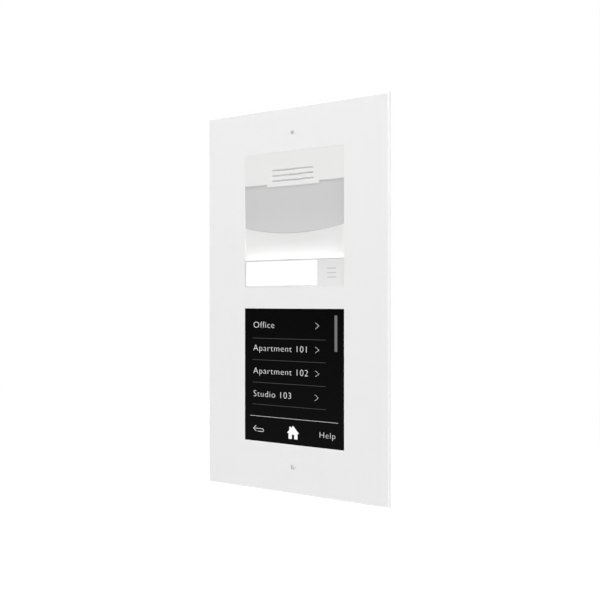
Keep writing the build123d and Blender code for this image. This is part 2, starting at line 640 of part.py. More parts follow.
with BuildPart() as key_leds:
    for x in (-28.0, -10.5, 7.0):
        slab(3.4, 2.8, KEY_BOARD_FRONT - 1.2, KEY_BOARD_FRONT, (x, MECHANISM_Z), corner=0.3)

with BuildPart() as key_switch_body:
    slab(8.0, 6.4, SWITCH_FRONT, KEY_BOARD_FRONT, SWITCH_PLACE)
    post(PLUNGER_RADIUS + 0.06, SWITCH_FRONT, KEY_BOARD_FRONT - 0.5, SWITCH_PLACE, Mode.SUBTRACT)

with BuildPart() as key_switch_plunger:
    post(PLUNGER_RADIUS, PLUNGER_TIP, 3.9, SWITCH_PLACE)

# Return spring: an open coil between the key and its board, wound about a line square to the wall.
with BuildPart() as key_return_spring:
    spring_front = KEY_HOLLOW_FRONT + SPRING_WIRE / 2 + 0.05
    spring_length = KEY_BOARD_FRONT - SPRING_WIRE / 2 - 0.05 - spring_front
    with BuildLine():
        coil = Helix(spring_length / SPRING_TURNS, spring_length, SPRING_RADIUS,
                     center=(SPRING_X, spring_front, MECHANISM_Z), direction=(0, 1, 0))
    with BuildSketch(Plane(origin=coil @ 0, z_dir=coil % 0)):
        Circle(SPRING_WIRE / 2)
    sweep(path=coil, is_frenet=True)

# ---- Boards and terminals of the camera module ----

main_board = circuit_board(CAMERA_Z)

with BuildPart() as main_board_screws:
    pan_screws(corners(BOARD_POST_X, BOARD_POST_Z, CAMERA_Z), BOARD_FRONT, 1.9, 1.4, 0.9, 7.0)

# Six-pole terminal block on the back of the board, through the housing's floor.
TERMINAL_PITCH = 5.08
TERMINAL_XS = [TERMINAL_PITCH * (pole - 2.5) for pole in range(6)]

with BuildPart() as terminal_block:
    slab(34.0, 13.0, BOARD_BACK, TERMINAL_BACK, TERMINAL_PLACE)
    for x in TERMINAL_XS:
        post(1.6, TERMINAL_BACK - 2.5, TERMINAL_BACK, (x, TERMINAL_PLACE[1] + 3), Mode.SUBTRACT)
        slab(3.0, 3.4, TERMINAL_BACK - 7, TERMINAL_BACK, (x, TERMINAL_PLACE[1] - 3), mode=Mode.SUBTRACT)

with BuildPart() as terminal_screws:
    for x in TERMINAL_XS:
        place = (x, TERMINAL_PLACE[1] + 3)
        post(1.5, TERMINAL_BACK - 2.5, TERMINAL_BACK - 1, place)
        slab(2.4, 0.5, TERMINAL_BACK - 1.7, TERMINAL_BACK - 1, place, mode=Mode.SUBTRACT)

# ---- Display module ----

GLASS_BACK = GLASS_FRONT + GLASS_THICKNESS
TAPE_BACK = GLASS_BACK + TAPE_THICKNESS
LCD_FRONT = GLASS_BACK + 0.1
LCD_BACK = LCD_FRONT + LCD_THICKNESS
GLASS_HEIGHT = 114.74
DISPLAY_PLACE = (0, DISPLAY_Z)
FLEX_PLACE = (0, DISPLAY_Z - 38)

display_module_housing = module_housing(
    DISPLAY_Z, DISPLAY_CHASSIS_BACK, [(18.0, 8.0, DISPLAY_LINK_PLACE)])

with BuildPart() as display_glass:
    slab(COVER_WIDTH, GLASS_HEIGHT, GLASS_FRONT, GLASS_BACK, DISPLAY_PLACE, GLASS_CORNER)
    chamfer(faces().sort_by(Axis.Y)[0].edges(), GLASS_CHAMFER)

with BuildPart() as glass_tape:
    slab(COVER_WIDTH - 0.8, GLASS_HEIGHT - 0.8, GLASS_BACK, TAPE_BACK, DISPLAY_PLACE)
    slab(LCD_WIDTH + 0.8, LCD_HEIGHT + 0.8, GLASS_BACK, TAPE_BACK, DISPLAY_PLACE, mode=Mode.SUBTRACT)

with BuildPart() as display_bezel:
    slab(COVER_WIDTH, GLASS_HEIGHT, TAPE_BACK, FLANGE_FRONT, DISPLAY_PLACE)
    slab(LCD_WIDTH + 0.4, LCD_HEIGHT + 0.4, TAPE_BACK, FLANGE_FRONT, DISPLAY_PLACE, mode=Mode.SUBTRACT)

with BuildPart() as lcd_panel:
    slab(LCD_WIDTH, LCD_HEIGHT, LCD_FRONT, LCD_BACK, DISPLAY_PLACE)

with BuildPart() as backlight_unit:
    slab(LCD_WIDTH, LCD_HEIGHT, LCD_BACK, BACKLIGHT_BACK, DISPLAY_PLACE)

with BuildPart() as lcd_tray:
    slab(LCD_WIDTH, LCD_HEIGHT, BACKLIGHT_BACK, DISPLAY_CHASSIS_FRONT, DISPLAY_PLACE)

with BuildPart() as display_chassis:
    chassis_plate(DISPLAY_Z, DISPLAY_CHASSIS_FRONT, DISPLAY_CHASSIS_BACK)
    for place in corners(CHASSIS_POST_X, CHASSIS_POST_Z, DISPLAY_Z):
        post(2.4, DISPLAY_CHASSIS_FRONT, DISPLAY_CHASSIS_FRONT + 1.8, place, Mode.SUBTRACT)
    slab(22.0, 2.0, DISPLAY_CHASSIS_FRONT, DISPLAY_CHASSIS_BACK, FLEX_PLACE, mode=Mode.SUBTRACT)

with BuildPart() as display_chassis_screws:
    pan_screws(corners(CHASSIS_POST_X, CHASSIS_POST_Z, DISPLAY_Z), DISPLAY_CHASSIS_FRONT + 1.8,
               2.2, 1.6, 1.2, 8.0)

with BuildPart() as display_flex:
    slab(20.0, 0.3, DISPLAY_CHASSIS_FRONT, BOARD_FRONT, FLEX_PLACE)

display_board = circuit_board(DISPLAY_Z)

with BuildPart() as display_board_screws:
    pan_screws(corners(BOARD_POST_X, BOARD_POST_Z, DISPLAY_Z), BOARD_FRONT, 1.9, 1.4, 0.9, 7.0)

# ---- Link between the two modules: two headers and a flat cable with rounded bends ----

with BuildPart() as link_connectors:
    for place in (CAMERA_LINK_PLACE, DISPLAY_LINK_PLACE):
        slab(16.0, 6.0, BOARD_BACK, CONNECTOR_BACK, place)

with BuildPart() as link_cable:
    with BuildSketch(Plane.YZ):
        with BuildLine():
            FilletPolyline((CONNECTOR_BACK, CAMERA_LINK_PLACE[1]), (LINK_REACH, CAMERA_LINK_PLACE[1]),
                           (LINK_REACH, DISPLAY_LINK_PLACE[1]), (CONNECTOR_BACK, DISPLAY_LINK_PLACE[1]),
                           radius=LINK_BEND)
        trace(line_width=LINK_THICKNESS)
    extrude(amount=LINK_WIDTH / 2, both=True)

# ---- Every piece to its own file ----

PIECES = {
    "cover_plate": cover_plate,
    "wall_seal": wall_seal,
    "security_screws": security_screws,
    "module_seals": module_seals,
    "carrier_frame": carrier_frame,
    "carrier_screws": carrier_screws,
    "wall_box": wall_box,
    "camera_module_housing": camera_module_housing,
    "camera_chassis": camera_chassis,
    "camera_chassis_screws": camera_chassis_screws,
    "speaker_cover": speaker_cover,
    "speaker_mesh": speaker_mesh,
    "speaker_gasket": speaker_gasket,
    "speaker_frame": speaker_frame,
    "speaker_cone": speaker_cone,
    "speaker_magnet": speaker_magnet,
    "camera_window": camera_window,
    "camera_fairing": camera_fairing,
    "camera_board": camera_board,
    "camera_board_screws": camera_board_screws,
    "lens_holder": lens_holder,
    "lens_barrel": lens_barrel,
    "lens_glass": lens_glass,
    "image_sensor": image_sensor,
    "night_light_leds": night_light_leds,
    "microphone": microphone,
    "microphone_boot": microphone_boot,
    "call_key": call_key,
    "nameplate_window": nameplate_window,
    "name_label": name_label,
    "label_diffuser": label_diffuser,
    "key_pivot_pin": key_pivot_pin,
    "key_return_spring": key_return_spring,
    "key_board": key_board,
    "key_leds": key_leds,
    "key_switch_body": key_switch_body,
    "key_switch_plunger": key_switch_plunger,
    "main_board": main_board,
    "main_board_screws": main_board_screws,
    "terminal_block": terminal_block,
    "terminal_screws": terminal_screws,
    "display_module_housing": display_module_housing,
    "display_glass": display_glass,
    "glass_tape": glass_tape,
    "display_bezel": display_bezel,
    "lcd_panel": lcd_panel,
    "backlight_unit": backlight_unit,
    "lcd_tray": lcd_tray,
    "display_chassis": display_chassis,
    "display_chassis_screws": display_chassis_screws,
    "display_flex": display_flex,
    "display_board": display_board,
    "display_board_screws": display_board_screws,
    "link_connectors": link_connectors,
    "link_cable": link_cable,
}

os.makedirs("parts", exist_ok=True)
for name, piece in PIECES.items():
    piece.part.label = name
    export_step(piece.part, f"parts/{name}.step")
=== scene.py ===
import math

import bmesh
import bpy
import numpy as np
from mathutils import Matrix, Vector


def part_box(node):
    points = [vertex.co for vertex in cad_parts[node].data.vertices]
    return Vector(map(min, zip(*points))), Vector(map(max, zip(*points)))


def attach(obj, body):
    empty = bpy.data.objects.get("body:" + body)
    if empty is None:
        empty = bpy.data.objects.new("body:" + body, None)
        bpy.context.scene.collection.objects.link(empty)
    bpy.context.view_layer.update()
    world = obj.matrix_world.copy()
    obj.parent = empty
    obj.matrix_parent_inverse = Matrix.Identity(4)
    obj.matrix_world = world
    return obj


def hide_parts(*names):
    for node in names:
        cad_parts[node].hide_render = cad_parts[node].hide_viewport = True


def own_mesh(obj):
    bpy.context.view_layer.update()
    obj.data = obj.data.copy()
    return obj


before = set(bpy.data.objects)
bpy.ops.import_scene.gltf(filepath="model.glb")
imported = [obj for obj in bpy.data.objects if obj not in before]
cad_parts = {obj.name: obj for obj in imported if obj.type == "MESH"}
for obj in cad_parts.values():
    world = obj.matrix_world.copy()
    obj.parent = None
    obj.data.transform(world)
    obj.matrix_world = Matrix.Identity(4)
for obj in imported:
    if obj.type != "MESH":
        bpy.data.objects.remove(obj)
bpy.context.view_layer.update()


# ---- The eye ----
# A person who stands before the door station, a little to its right, looks at it level with the middle of
# its cover plate from about half a metre.

EYE_PLACE = (0.2212, -0.4588, -0.00134)
EYE_TURN = 25.25
EYE_SHIFT = 0.0024

eye_data = bpy.data.cameras.new("eye")
eye_data.sensor_width = 36.0
eye_data.lens = 36.0
eye_data.shift_y = EYE_SHIFT
eye_data.clip_start = 0.01
eye = bpy.data.objects.new("eye", eye_data)
eye.location = EYE_PLACE
eye.rotation_euler = (math.radians(90.0), 0.0, math.radians(EYE_TURN))
bpy.context.scene.collection.objects.link(eye)
bpy.context.scene.camera = eye
bpy.context.scene.view_settings.view_transform = "Standard"


# ---- Floor and studio light ----
# A wide pale floor lies well below the station, and a pale room surrounds it. A long soft light hangs above
# it near the wall, a broad one hangs higher in front, one stands at each side, and a faint one lies below.

MM = 0.001
FLOOR_Z = -1.2
FLOOR_SIZE = 14.0


def link(tree, source, target):
    """Joins two sockets of a node tree."""
    tree.links.new(source, target)


def mesh_piece(name, points, faces, crease=30.0, close=None):
    """An object from points in millimetres and faces as rows of point numbers.

    Its faces are smooth, apart from edges that turn by more than the crease angle. The function close, where
    there is one, fills the open ends first.
    """
    mesh = bpy.data.meshes.new(name)
    mesh.from_pydata((np.asarray(points, float) * MM).tolist(), [], [list(face) for face in faces])
    shape = bmesh.new()
    shape.from_mesh(mesh)
    if close:
        close(shape)
    bmesh.ops.recalc_face_normals(shape, faces=shape.faces)
    shape.to_mesh(mesh)
    shape.free()
    mesh.shade_smooth()
    mesh.set_sharp_from_angle(angle=math.radians(crease))
    piece = bpy.data.objects.new(name, mesh)
    bpy.context.scene.collection.objects.link(piece)
    return piece


floor_points = np.array([(-1, -1, 0), (1, -1, 0), (1, 1, 0), (-1, 1, 0)]) * FLOOR_SIZE / 2 / MM
floor_points[:, 2] = FLOOR_Z / MM
floor = mesh_piece("studio_floor", floor_points, [(0, 1, 2, 3)])
floor_paint = bpy.data.materials.new("pale_floor")
floor_paint.use_nodes = True
floor_shader = floor_paint.node_tree.nodes["Principled BSDF"]
floor_shader.inputs["Base Color"].default_value = (0.8, 0.8, 0.8, 1.0)
floor_shader.inputs["Roughness"].default_value = 0.9
floor_shader.inputs["Emission Color"].default_value = (1.0, 1.0, 1.0, 1.0)
floor_shader.inputs["Emission Strength"].default_value = 0.8
floor.data.materials.append(floor_paint)
floor.visible_glossy = False

ROOM_LIGHT = 0.25
GLOSS_ABOVE = 0.03
GLOSS_BELOW = 0.2
room = bpy.data.worlds.new("studio_room")
room.use_nodes = True
bpy.context.scene.world = room
air = room.node_tree
air.nodes.clear()


def glow(strength):
    """A white background of this strength."""
    background = air.nodes.new("ShaderNodeBackground")
    background.inputs["Color"].default_value = (1.0, 1.0, 1.0, 1.0)
    background.inputs["Strength"].default_value = strength
    return background


# Mirrored rays see a dark room that is a little lighter below, and the eye sees plain white.
ray = air.nodes.new("ShaderNodeLightPath")
direction = air.nodes.new("ShaderNodeTexCoord")
upwards = air.nodes.new("ShaderNodeSeparateXYZ")
fall = air.nodes.new("ShaderNodeMapRange")
fall.inputs["From Min"].default_value = 0.1
fall.inputs["From Max"].default_value = -0.5
fall.inputs["To Min"].default_value = GLOSS_ABOVE
fall.inputs["To Max"].default_value = GLOSS_BELOW
link(air, direction.outputs["Generated"], upwards.inputs[0])
link(air, upwards.outputs["Z"], fall.inputs["Value"])
mirrored = glow(GLOSS_ABOVE)
link(air, fall.outputs[0], mirrored.inputs["Strength"])
gloss_mix = air.nodes.new("ShaderNodeMixShader")
eye_mix = air.nodes.new("ShaderNodeMixShader")
room_out = air.nodes.new("ShaderNodeOutputWorld")
link(air, ray.outputs["Is Glossy Ray"], gloss_mix.inputs[0])
link(air, glow(ROOM_LIGHT).outputs[0], gloss_mix.inputs[1])
link(air, mirrored.outputs[0], gloss_mix.inputs[2])
link(air, ray.outputs["Is Camera Ray"], eye_mix.inputs[0])
link(air, gloss_mix.outputs[0], eye_mix.inputs[1])
link(air, glow(1.0).outputs[0], eye_mix.inputs[2])
link(air, eye_mix.outputs[0], room_out.inputs["Surface"])


def softbox(name, place, aim, width, height, power, glossy=True):
    """A rectangular soft light at a place in metres that faces the aim; glossy says if mirrors show it."""
    data = bpy.data.lights.new(name, "AREA")
    data.shape = "RECTANGLE"
    data.size = width
    data.size_y = height
    data.energy = power
    light = bpy.data.objects.new(name, data)
    light.location = place
    light.rotation_euler = (Vector(aim) - Vector(place)).to_track_quat("-Z", "Y").to_euler()
    light.visible_camera = False
    light.visible_glossy = glossy
    bpy.context.scene.collection.objects.link(light)
    return light


softbox("top_light", (0.0, -0.035, 1.1), (0.0, -0.01, 0.0), 1.0, 0.05, 29.0)
softbox("high_light", (0.0, -1.6, 2.2), (0.0, 0.0, 0.0), 1.0, 1.0, 30.0, glossy=False)
softbox("right_light", (1.3, -0.22, 0.1), (0.0, 0.0, 0.0), 0.3, 1.4, 4.1)
softbox("left_light", (-1.3, -0.3, 0.1), (0.0, 0.0, 0.0), 0.3, 1.4, 2.0)
low_light = softbox("low_light", (0.0, -0.08, -1.0), (0.0, -0.01, 0.0), 1.4, 0.1, 2.0)
low_light.data.color = (1.0, 0.98, 0.9)


# ---- Wall box ----
# A flush box moulded in grey polypropylene, set in the wall's pocket and screwed through its back. Its ribs
# and lugs key into the plaster, and thin rings mark where more cable entries can be knocked out.

def colour_of(red, green, blue):
    """Linear colour of three display levels from 0 to 255: each is ((level / 255 + 0.055) / 1.055) ** 2.4,
    or level / 255 / 12.92 where the level is below 10."""
    level = np.array([red, green, blue], float) / 255
    linear = np.where(level < 0.04045, level / 12.92, ((level + 0.055) / 1.055) ** 2.4)
    return (*linear.tolist(), 1.0)


def add_node(tree, kind, **values):
    """Adds a shader node. Each value is one of its properties, or the default of the input of that name."""
    node = tree.nodes.new("ShaderNode" + kind)
    for key, value in values.items():
        if hasattr(node, key):
            setattr(node, key, value)
        else:
            node.inputs[key.replace("_", " ")].default_value = value
    return node


def skin_group(name, inputs):
    """An empty skin: a shader node group with these number inputs, a colour input, and three outputs that
    change over the surface: Colour, Roughness and Height."""
    group = bpy.data.node_groups.new(name, "ShaderNodeTree")
    face = group.interface
    face.new_socket("Colour", in_out="INPUT", socket_type="NodeSocketColor")
    for label, value in inputs.items():
        face.new_socket(label, in_out="INPUT", socket_type="NodeSocketFloat").default_value = value
    face.new_socket("Colour", in_out="OUTPUT", socket_type="NodeSocketColor")
    face.new_socket("Roughness", in_out="OUTPUT", socket_type="NodeSocketFloat")
    face.new_socket("Height", in_out="OUTPUT", socket_type="NodeSocketFloat")
    return group, group.nodes.new("NodeGroupInput"), group.nodes.new("NodeGroupOutput")


def around(tree, pattern, middle, spread):
    """A value that swings about the middle by the spread as the pattern goes from 0 to 1."""
    centred = add_node(tree, "Math", operation="SUBTRACT")
    link(tree, pattern, centred.inputs[0])
    centred.inputs[1].default_value = 0.5
    swing = add_node(tree, "Math", operation="MULTIPLY_ADD")
    link(tree, centred.outputs[0], swing.inputs[0])
    for socket, source in ((swing.inputs[1], spread), (swing.inputs[2], middle)):
        if isinstance(source, (int, float)):
            socket.default_value = source
        else:
            link(tree, source, socket)
    return swing.outputs[0]


def tinted(tree, colour, factor):
    """A colour multiplied by a factor."""
    product = add_node(tree, "VectorMath", operation="SCALE")
    link(tree, colour, product.inputs[0])
    link(tree, factor, product.inputs["Scale"])
    return product.outputs[0]


def noise(tree, place, scale, detail, roughness=0.5):
    """A noise texture of a place, its scale a number or a socket."""
    texture = add_node(tree, "TexNoise", Detail=detail, Roughness=roughness)
    link(tree, place, texture.inputs["Vector"])
    if isinstance(scale, (int, float)):
        texture.inputs["Scale"].default_value = scale
    else:
        link(tree, scale, texture.inputs["Scale"])
    return texture.outputs["Fac"]


def finish_skin(tree, given, result, tone, depth, relief, spread, middle=1.0):
    """Joins a skin's outputs. The tone pattern swings the colour's factor about the middle by the depth. The
    relief pattern swings the roughness by the spread, and it is also the height."""
    shade = around(tree, tone, middle, depth)
    link(tree, tinted(tree, given.outputs["Colour"], shade), result.inputs["Colour"])
    link(tree, around(tree, relief, given.outputs["Roughness"], spread), result.inputs["Roughness"])
    link(tree, relief, result.inputs["Height"])


# Moulded plastic: the mould's fine spark-eroded grain, and a slow mottle of the melt.
moulded_skin, given, result = skin_group(
    "moulded_skin", {"Grain": 2500.0, "Mottle": 0.03, "Roughness": 0.5, "Spread": 0.1})
place = add_node(moulded_skin, "TexCoord").outputs["Object"]
grain = noise(moulded_skin, place, given.outputs["Grain"], 3.0, 0.6)
mottle = noise(moulded_skin, place, 28.0, 2.0)
finish_skin(moulded_skin, given, result, mottle, given.outputs["Mottle"], grain, given.outputs["Spread"])


def surface(name, skin, inputs, relief=0.0, **shader):
    """A Principled surface with a skin group's colour, roughness and relief; the relief is in millimetres.

    Each further value is the default of the shader's socket of that name.
    """
    material = bpy.data.materials.new(name)
    material.use_nodes = True
    tree = material.node_tree
    principled = tree.nodes["Principled BSDF"]
    cover = tree.nodes.new("ShaderNodeGroup")
    cover.node_tree = skin
    for key, value in inputs.items():
        cover.inputs[key].default_value = value
    link(tree, cover.outputs["Colour"], principled.inputs["Base Color"])
    link(tree, cover.outputs["Roughness"], principled.inputs["Roughness"])
    if relief:
        bump = add_node(tree, "Bump", Distance=relief * MM)
        link(tree, cover.outputs["Height"], bump.inputs["Height"])
        link(tree, bump.outputs["Normal"], principled.inputs["Normal"])
    for key, value in shader.items():
        principled.inputs[key.replace("_", " ")].default_value = value
    return material


def dress(material, *nodes):
    """Gives CAD nodes a finish."""
    for node in nodes:
        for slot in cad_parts[node].material_slots:
            slot.material = material


box_plastic = surface(
    "grey_box_plastic", moulded_skin,
    {"Colour": colour_of(158, 161, 163), "Grain": 900.0, "Mottle": 0.14, "Roughness": 0.55, "Spread": 0.2},
    relief=0.03, Specular_IOR_Level=0.4)
dress(box_plastic, "wall_box")


# ---- Carrier frame and its screws ----
# The frame is pressed from zinc-plated steel sheet, with a folded rim and the threaded bushes for the cover
# plate. Four pan-head screws hold it on the box's posts, and the modules clip into its two windows.

metal_skin, given, result = skin_group(
    "metal_skin", {"Across": 6000.0, "Along": 300.0, "Spangle": 90.0, "Roughness": 0.35, "Spread": 0.2})
place = add_node(metal_skin, "TexCoord").outputs["Object"]
stretch = add_node(metal_skin, "CombineXYZ")
link(metal_skin, given.outputs["Along"], stretch.inputs["X"])
link(metal_skin, given.outputs["Across"], stretch.inputs["Y"])
link(metal_skin, given.outputs["Across"], stretch.inputs["Z"])
drawn = add_node(metal_skin, "VectorMath", operation="MULTIPLY")
link(metal_skin, place, drawn.inputs[0])
link(metal_skin, stretch.outputs[0], drawn.inputs[1])
lines = noise(metal_skin, drawn.outputs[0], 1.0, 2.0)
crystal = add_node(metal_skin, "TexVoronoi")
link(metal_skin, place, crystal.inputs["Vector"])
link(metal_skin, given.outputs["Spangle"], crystal.inputs["Scale"])
facet = add_node(metal_skin, "SeparateColor")
link(metal_skin, crystal.outputs["Color"], facet.inputs[0])
finish_skin(metal_skin, given, result, facet.outputs[0], 0.12, lines, given.outputs["Spread"])

zinc_sheet = surface(
    "zinc_sheet", metal_skin,
    {"Colour": colour_of(196, 200, 204), "Across": 900.0, "Along": 300.0, "Roughness": 0.38},
    relief=0.004, Metallic=1.0)
bright_screw = surface(
    "bright_screw_steel", metal_skin,
    {"Colour": colour_of(205, 206, 208), "Across": 5000.0, "Along": 5000.0, "Spangle": 1500.0,
     "Roughness": 0.28}, relief=0.004, Metallic=1.0)
dress(zinc_sheet, "carrier_frame", "lcd_tray")
dress(bright_screw, "carrier_screws", "camera_chassis_screws", "camera_board_screws", "main_board_screws",
      "terminal_screws", "display_chassis_screws", "display_board_screws", "key_pivot_pin")


# ---- Seals ----
# Strips of black closed-cell foam: one cord lies in the groove of the plate's back, against the wall, and a
# ring seals each module's flange. The speaker's gasket and the glass's tape are the same foam, but finer.

foam_skin, given, result = skin_group("foam_skin", {"Cells": 1500.0, "Roughness": 0.85})
place = add_node(foam_skin, "TexCoord").outputs["Object"]
cells = add_node(foam_skin, "TexVoronoi", feature="DISTANCE_TO_EDGE")
link(foam_skin, place, cells.inputs["Vector"])
link(foam_skin, given.outputs["Cells"], cells.inputs["Scale"])
finish_skin(foam_skin, given, result, cells.outputs["Distance"], -0.8, cells.outputs["Distance"], 0.2)

black_foam = surface(
    "black_foam", foam_skin, {"Colour": colour_of(40, 40, 42)}, relief=0.15, Specular_IOR_Level=0.2)
fine_foam = surface(
    "fine_black_foam", foam_skin, {"Colour": colour_of(34, 34, 36), "Cells": 4000.0},
    relief=0.05, Specular_IOR_Level=0.2)
dress(black_foam, "wall_seal", "module_seals")
dress(fine_foam, "speaker_gasket", "glass_tape")


# ---- Cover plate ----
# One flat aluminium casting with two windows, white powder coat and softly rounded front edges. Its back has
# a groove for the seal, and the two security screws pull it against the wall.

PLATE_EDGE = 2.0
PLATE_CORNER = 0.25
WINDOW_EDGE = 0.06
WINDOW_SIZE = (92.7, 114.8)
WINDOW_CORNER = 0.1
GLASS_SILL = 6.0
SEAL_INSETS = (3.5, 6.5)
SEAL_DEPTH = 1.2
SCREW_HEIGHTS = (141.0, -141.0)
HEAD_HOLE = 4.03
HEAD_SEAT = 2.6
SHANK_HOLE = 2.15
BACK_CHAMFER = 0.3


def box_mm(node):
    """The lowest and highest corners of a CAD node, in millimetres."""
    low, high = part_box(node)
    return np.array(low) / MM, np.array(high) / MM


def rectangle(left, bottom, right, top):
    """Four corners (x, z), anticlockwise as the visitor sees them."""
    return np.array([(left, bottom), (right, bottom), (right, top), (left, top)], float)


def inset(corners, distances):
    """Moves each side of a polygon inwards by its distance. A new corner is where two moved sides cross."""
    along = np.roll(corners, -1, 0) - corners
    along /= np.linalg.norm(along, axis=1, keepdims=True)
    inwards = np.column_stack([-along[:, 1], along[:, 0]])
    distances = np.broadcast_to(distances, len(corners))
    sides = np.stack([np.roll(inwards, 1, 0), inwards], 1)
    moves = np.stack([np.roll(distances, 1), distances], 1)
    return corners + np.linalg.solve(sides, moves[:, :, None])[:, :, 0]


def outline(corners, radius, steps=4):
    """Points round a polygon of right angles. A corner p between sides in the directions a and b is the arc
    p - r a (1 - sin t) + r b (1 - cos t), with one more point on each side to keep the sides flat."""
    after = np.roll(corners, -1, 0) - corners
    after /= np.linalg.norm(after, axis=1, keepdims=True)
    before = np.roll(after, 1, 0)
    turn = np.linspace(0, np.pi / 2, steps + 1)
    back = np.concatenate([[2.0], 1 - np.sin(turn), [0.0]])
    onward = np.concatenate([[0.0], 1 - np.cos(turn), [2.0]])
    ring = corners[:, None] - radius * before[:, None] * back[:, None]
    ring = ring + radius * after[:, None] * onward[:, None]
    return ring.reshape(-1, 2)


def carried(corners, profile, radius, sides=1.0):
    """A profile of (inset, depth) rows carried round a polygon: one ring of points per row."""
    rings = np.array([outline(inset(corners, step * np.asarray(sides)), radius) for step, _ in profile])
    depths = np.array([depth for _, depth in profile])
    depths = np.broadcast_to(depths[:, None], rings.shape[:2])
    return np.stack([rings[..., 0], depths, rings[..., 1]], -1)


def turned(middle, profile, steps=40):
    """A profile of (radius, depth) rows turned about an axis square to the wall through (x, z)."""
    turn = np.linspace(0, 2 * np.pi, steps, endpoint=False)
    radii, depths = np.array(profile, float).T[:, :, None]
    x = middle[0] + radii * np.cos(turn)
    z = middle[1] + radii * np.sin(turn)
    return np.stack([x, np.broadcast_to(depths, x.shape), z], -1)


def rounded_edge(radius, front, steps=7):
    """Profile rows over an edge: a quarter circle from the front face to the side, where the inset is
    r (1 - sin t) and the depth is front + r (1 - cos t), with one row before it to keep the face flat."""
    turn = np.linspace(0, np.pi / 2, steps + 1)
    arc = np.column_stack([radius * (1 - np.sin(turn)), front + radius * (1 - np.cos(turn))])
    return [(1.1 * radius + 0.02, front), *map(tuple, arc)]


def fill_ends(shape):
    """Fills the flat faces between the ends of ring walls, one depth after another."""
    open_edges = [edge for edge in shape.edges if edge.is_boundary]
    depths = np.array([edge.verts[0].co.y for edge in open_edges])
    for depth in np.unique(np.round(depths, 6)):
        ends = [edge for edge, at in zip(open_edges, depths) if abs(at - depth) < 1e-6]
        bmesh.ops.triangle_fill(shape, edges=ends, use_beauty=True, normal=(0, 1, 0))


def walled_piece(name, walls):
    """A closed piece from ring walls. Each wall runs from a front face to a back face, round the outside or
    round a hole, or into a pocket, and the flat faces between the walls' ends are filled."""
    points = []
    faces = []
    start = 0
    for rings in walls:
        count, size = rings.shape[:2]
        number = start + np.arange(count * size).reshape(count, size)
        onward = np.roll(number, -1, 1)
        quads = np.stack([number[:-1], onward[:-1], onward[1:], number[1:]], -1).reshape(-1, 4)
        faces += quads.tolist()
        points.append(rings.reshape(-1, 3))
        start += count * size
    return mesh_piece(name, np.concatenate(points), faces, close=fill_ends)


def finished(piece, material, body, slot, *nodes):
    """Gives a new piece its finish and its body, and hides the CAD nodes that it stands for. The slot is not
    used.
    """
    piece.data.materials.append(material)
    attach(piece, body)
    if nodes:
        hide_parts(*nodes)


# Powder coat: an orange-peel relief, and the faint upright drag of the spray gun.
powder_skin, given, result = skin_group("powder_skin", {"Peel": 700.0, "Drag": 0.01, "Roughness": 0.5})
place = add_node(powder_skin, "TexCoord").outputs["Object"]
peel = noise(powder_skin, place, given.outputs["Peel"], 2.0)
upright = add_node(powder_skin, "Mapping", Scale=(2600.0, 2600.0, 35.0))
link(powder_skin, place, upright.inputs["Vector"])
drag = noise(powder_skin, upright.outputs[0], 1.0, 2.0)
finish_skin(powder_skin, given, result, drag, given.outputs["Drag"], peel, 0.1)

plate_coat = surface(
    "white_powder_coat", powder_skin,
    {"Colour": colour_of(236, 236, 236), "Drag": 0.03, "Roughness": 0.42},
    relief=0.004, Specular_IOR_Level=0.4)

plate_low, plate_high = box_mm("cover_plate")
front = plate_low[1]
camera_middle = sum(c[2] for c in box_mm("camera_module_housing")) / 2
display_middle = sum(c[2] for c in box_mm("display_module_housing")) / 2
plate_corners = rectangle(plate_low[0], plate_low[2], plate_high[0], plate_high[2])
plate_profile = [
    *rounded_edge(PLATE_EDGE, front, 10), (0.0, -BACK_CHAMFER), (BACK_CHAMFER, 0.0), (SEAL_INSETS[0], 0.0),
    (SEAL_INSETS[0], -SEAL_DEPTH), (SEAL_INSETS[1], -SEAL_DEPTH), (SEAL_INSETS[1], 0.0)]
plate_walls = [carried(plate_corners, plate_profile, PLATE_CORNER)]
half_width, half_height = WINDOW_SIZE[0] / 2, WINDOW_SIZE[1] / 2
for middle in (camera_middle, display_middle):
    window = rectangle(-half_width, middle - half_height, half_width, middle + half_height)
    edge = [(-step, depth) for step, depth in rounded_edge(WINDOW_EDGE, front, 4)]
    sides = np.array([GLASS_SILL if middle == display_middle else 1.0, 1.0, 1.0, 1.0])
    plate_walls.append(carried(window, [*edge, (0.0, 0.0)], WINDOW_CORNER, sides))
seat = front + HEAD_SEAT
for height in SCREW_HEIGHTS:
    bore = [(HEAD_HOLE, front), (HEAD_HOLE, seat), (SHANK_HOLE, seat), (SHANK_HOLE, 0.0)]
    plate_walls.append(turned((0.0, height), bore))
cover_plate = walled_piece("white_cover_plate", plate_walls)
finished(cover_plate, plate_coat, "station", "plate_white", "cover_plate")


# ---- Security screws ----
# Two steel screws, coated with the plate. The round heads lie flush in it, so that little more than the
# square recess for the key shows.

SQUARE = 3.3
SQUARE_DEPTH = 1.2
SQUARE_CORNER = 0.1
HEAD_RADIUS = 4.0
SHANK_RADIUS = 2.0
THREAD_PITCH = 0.7
THREAD_DEPTH = 0.35
PLAIN_SHANK = 1.2
THREAD_START = 1.5
TIP_LENGTH = 0.8
TIP_CHAMFER = 0.7

square_paint = surface(
    "grey_recess_coat", powder_skin,
    {"Colour": colour_of(234, 234, 234), "Drag": 0.02, "Roughness": 0.6}, relief=0.006)

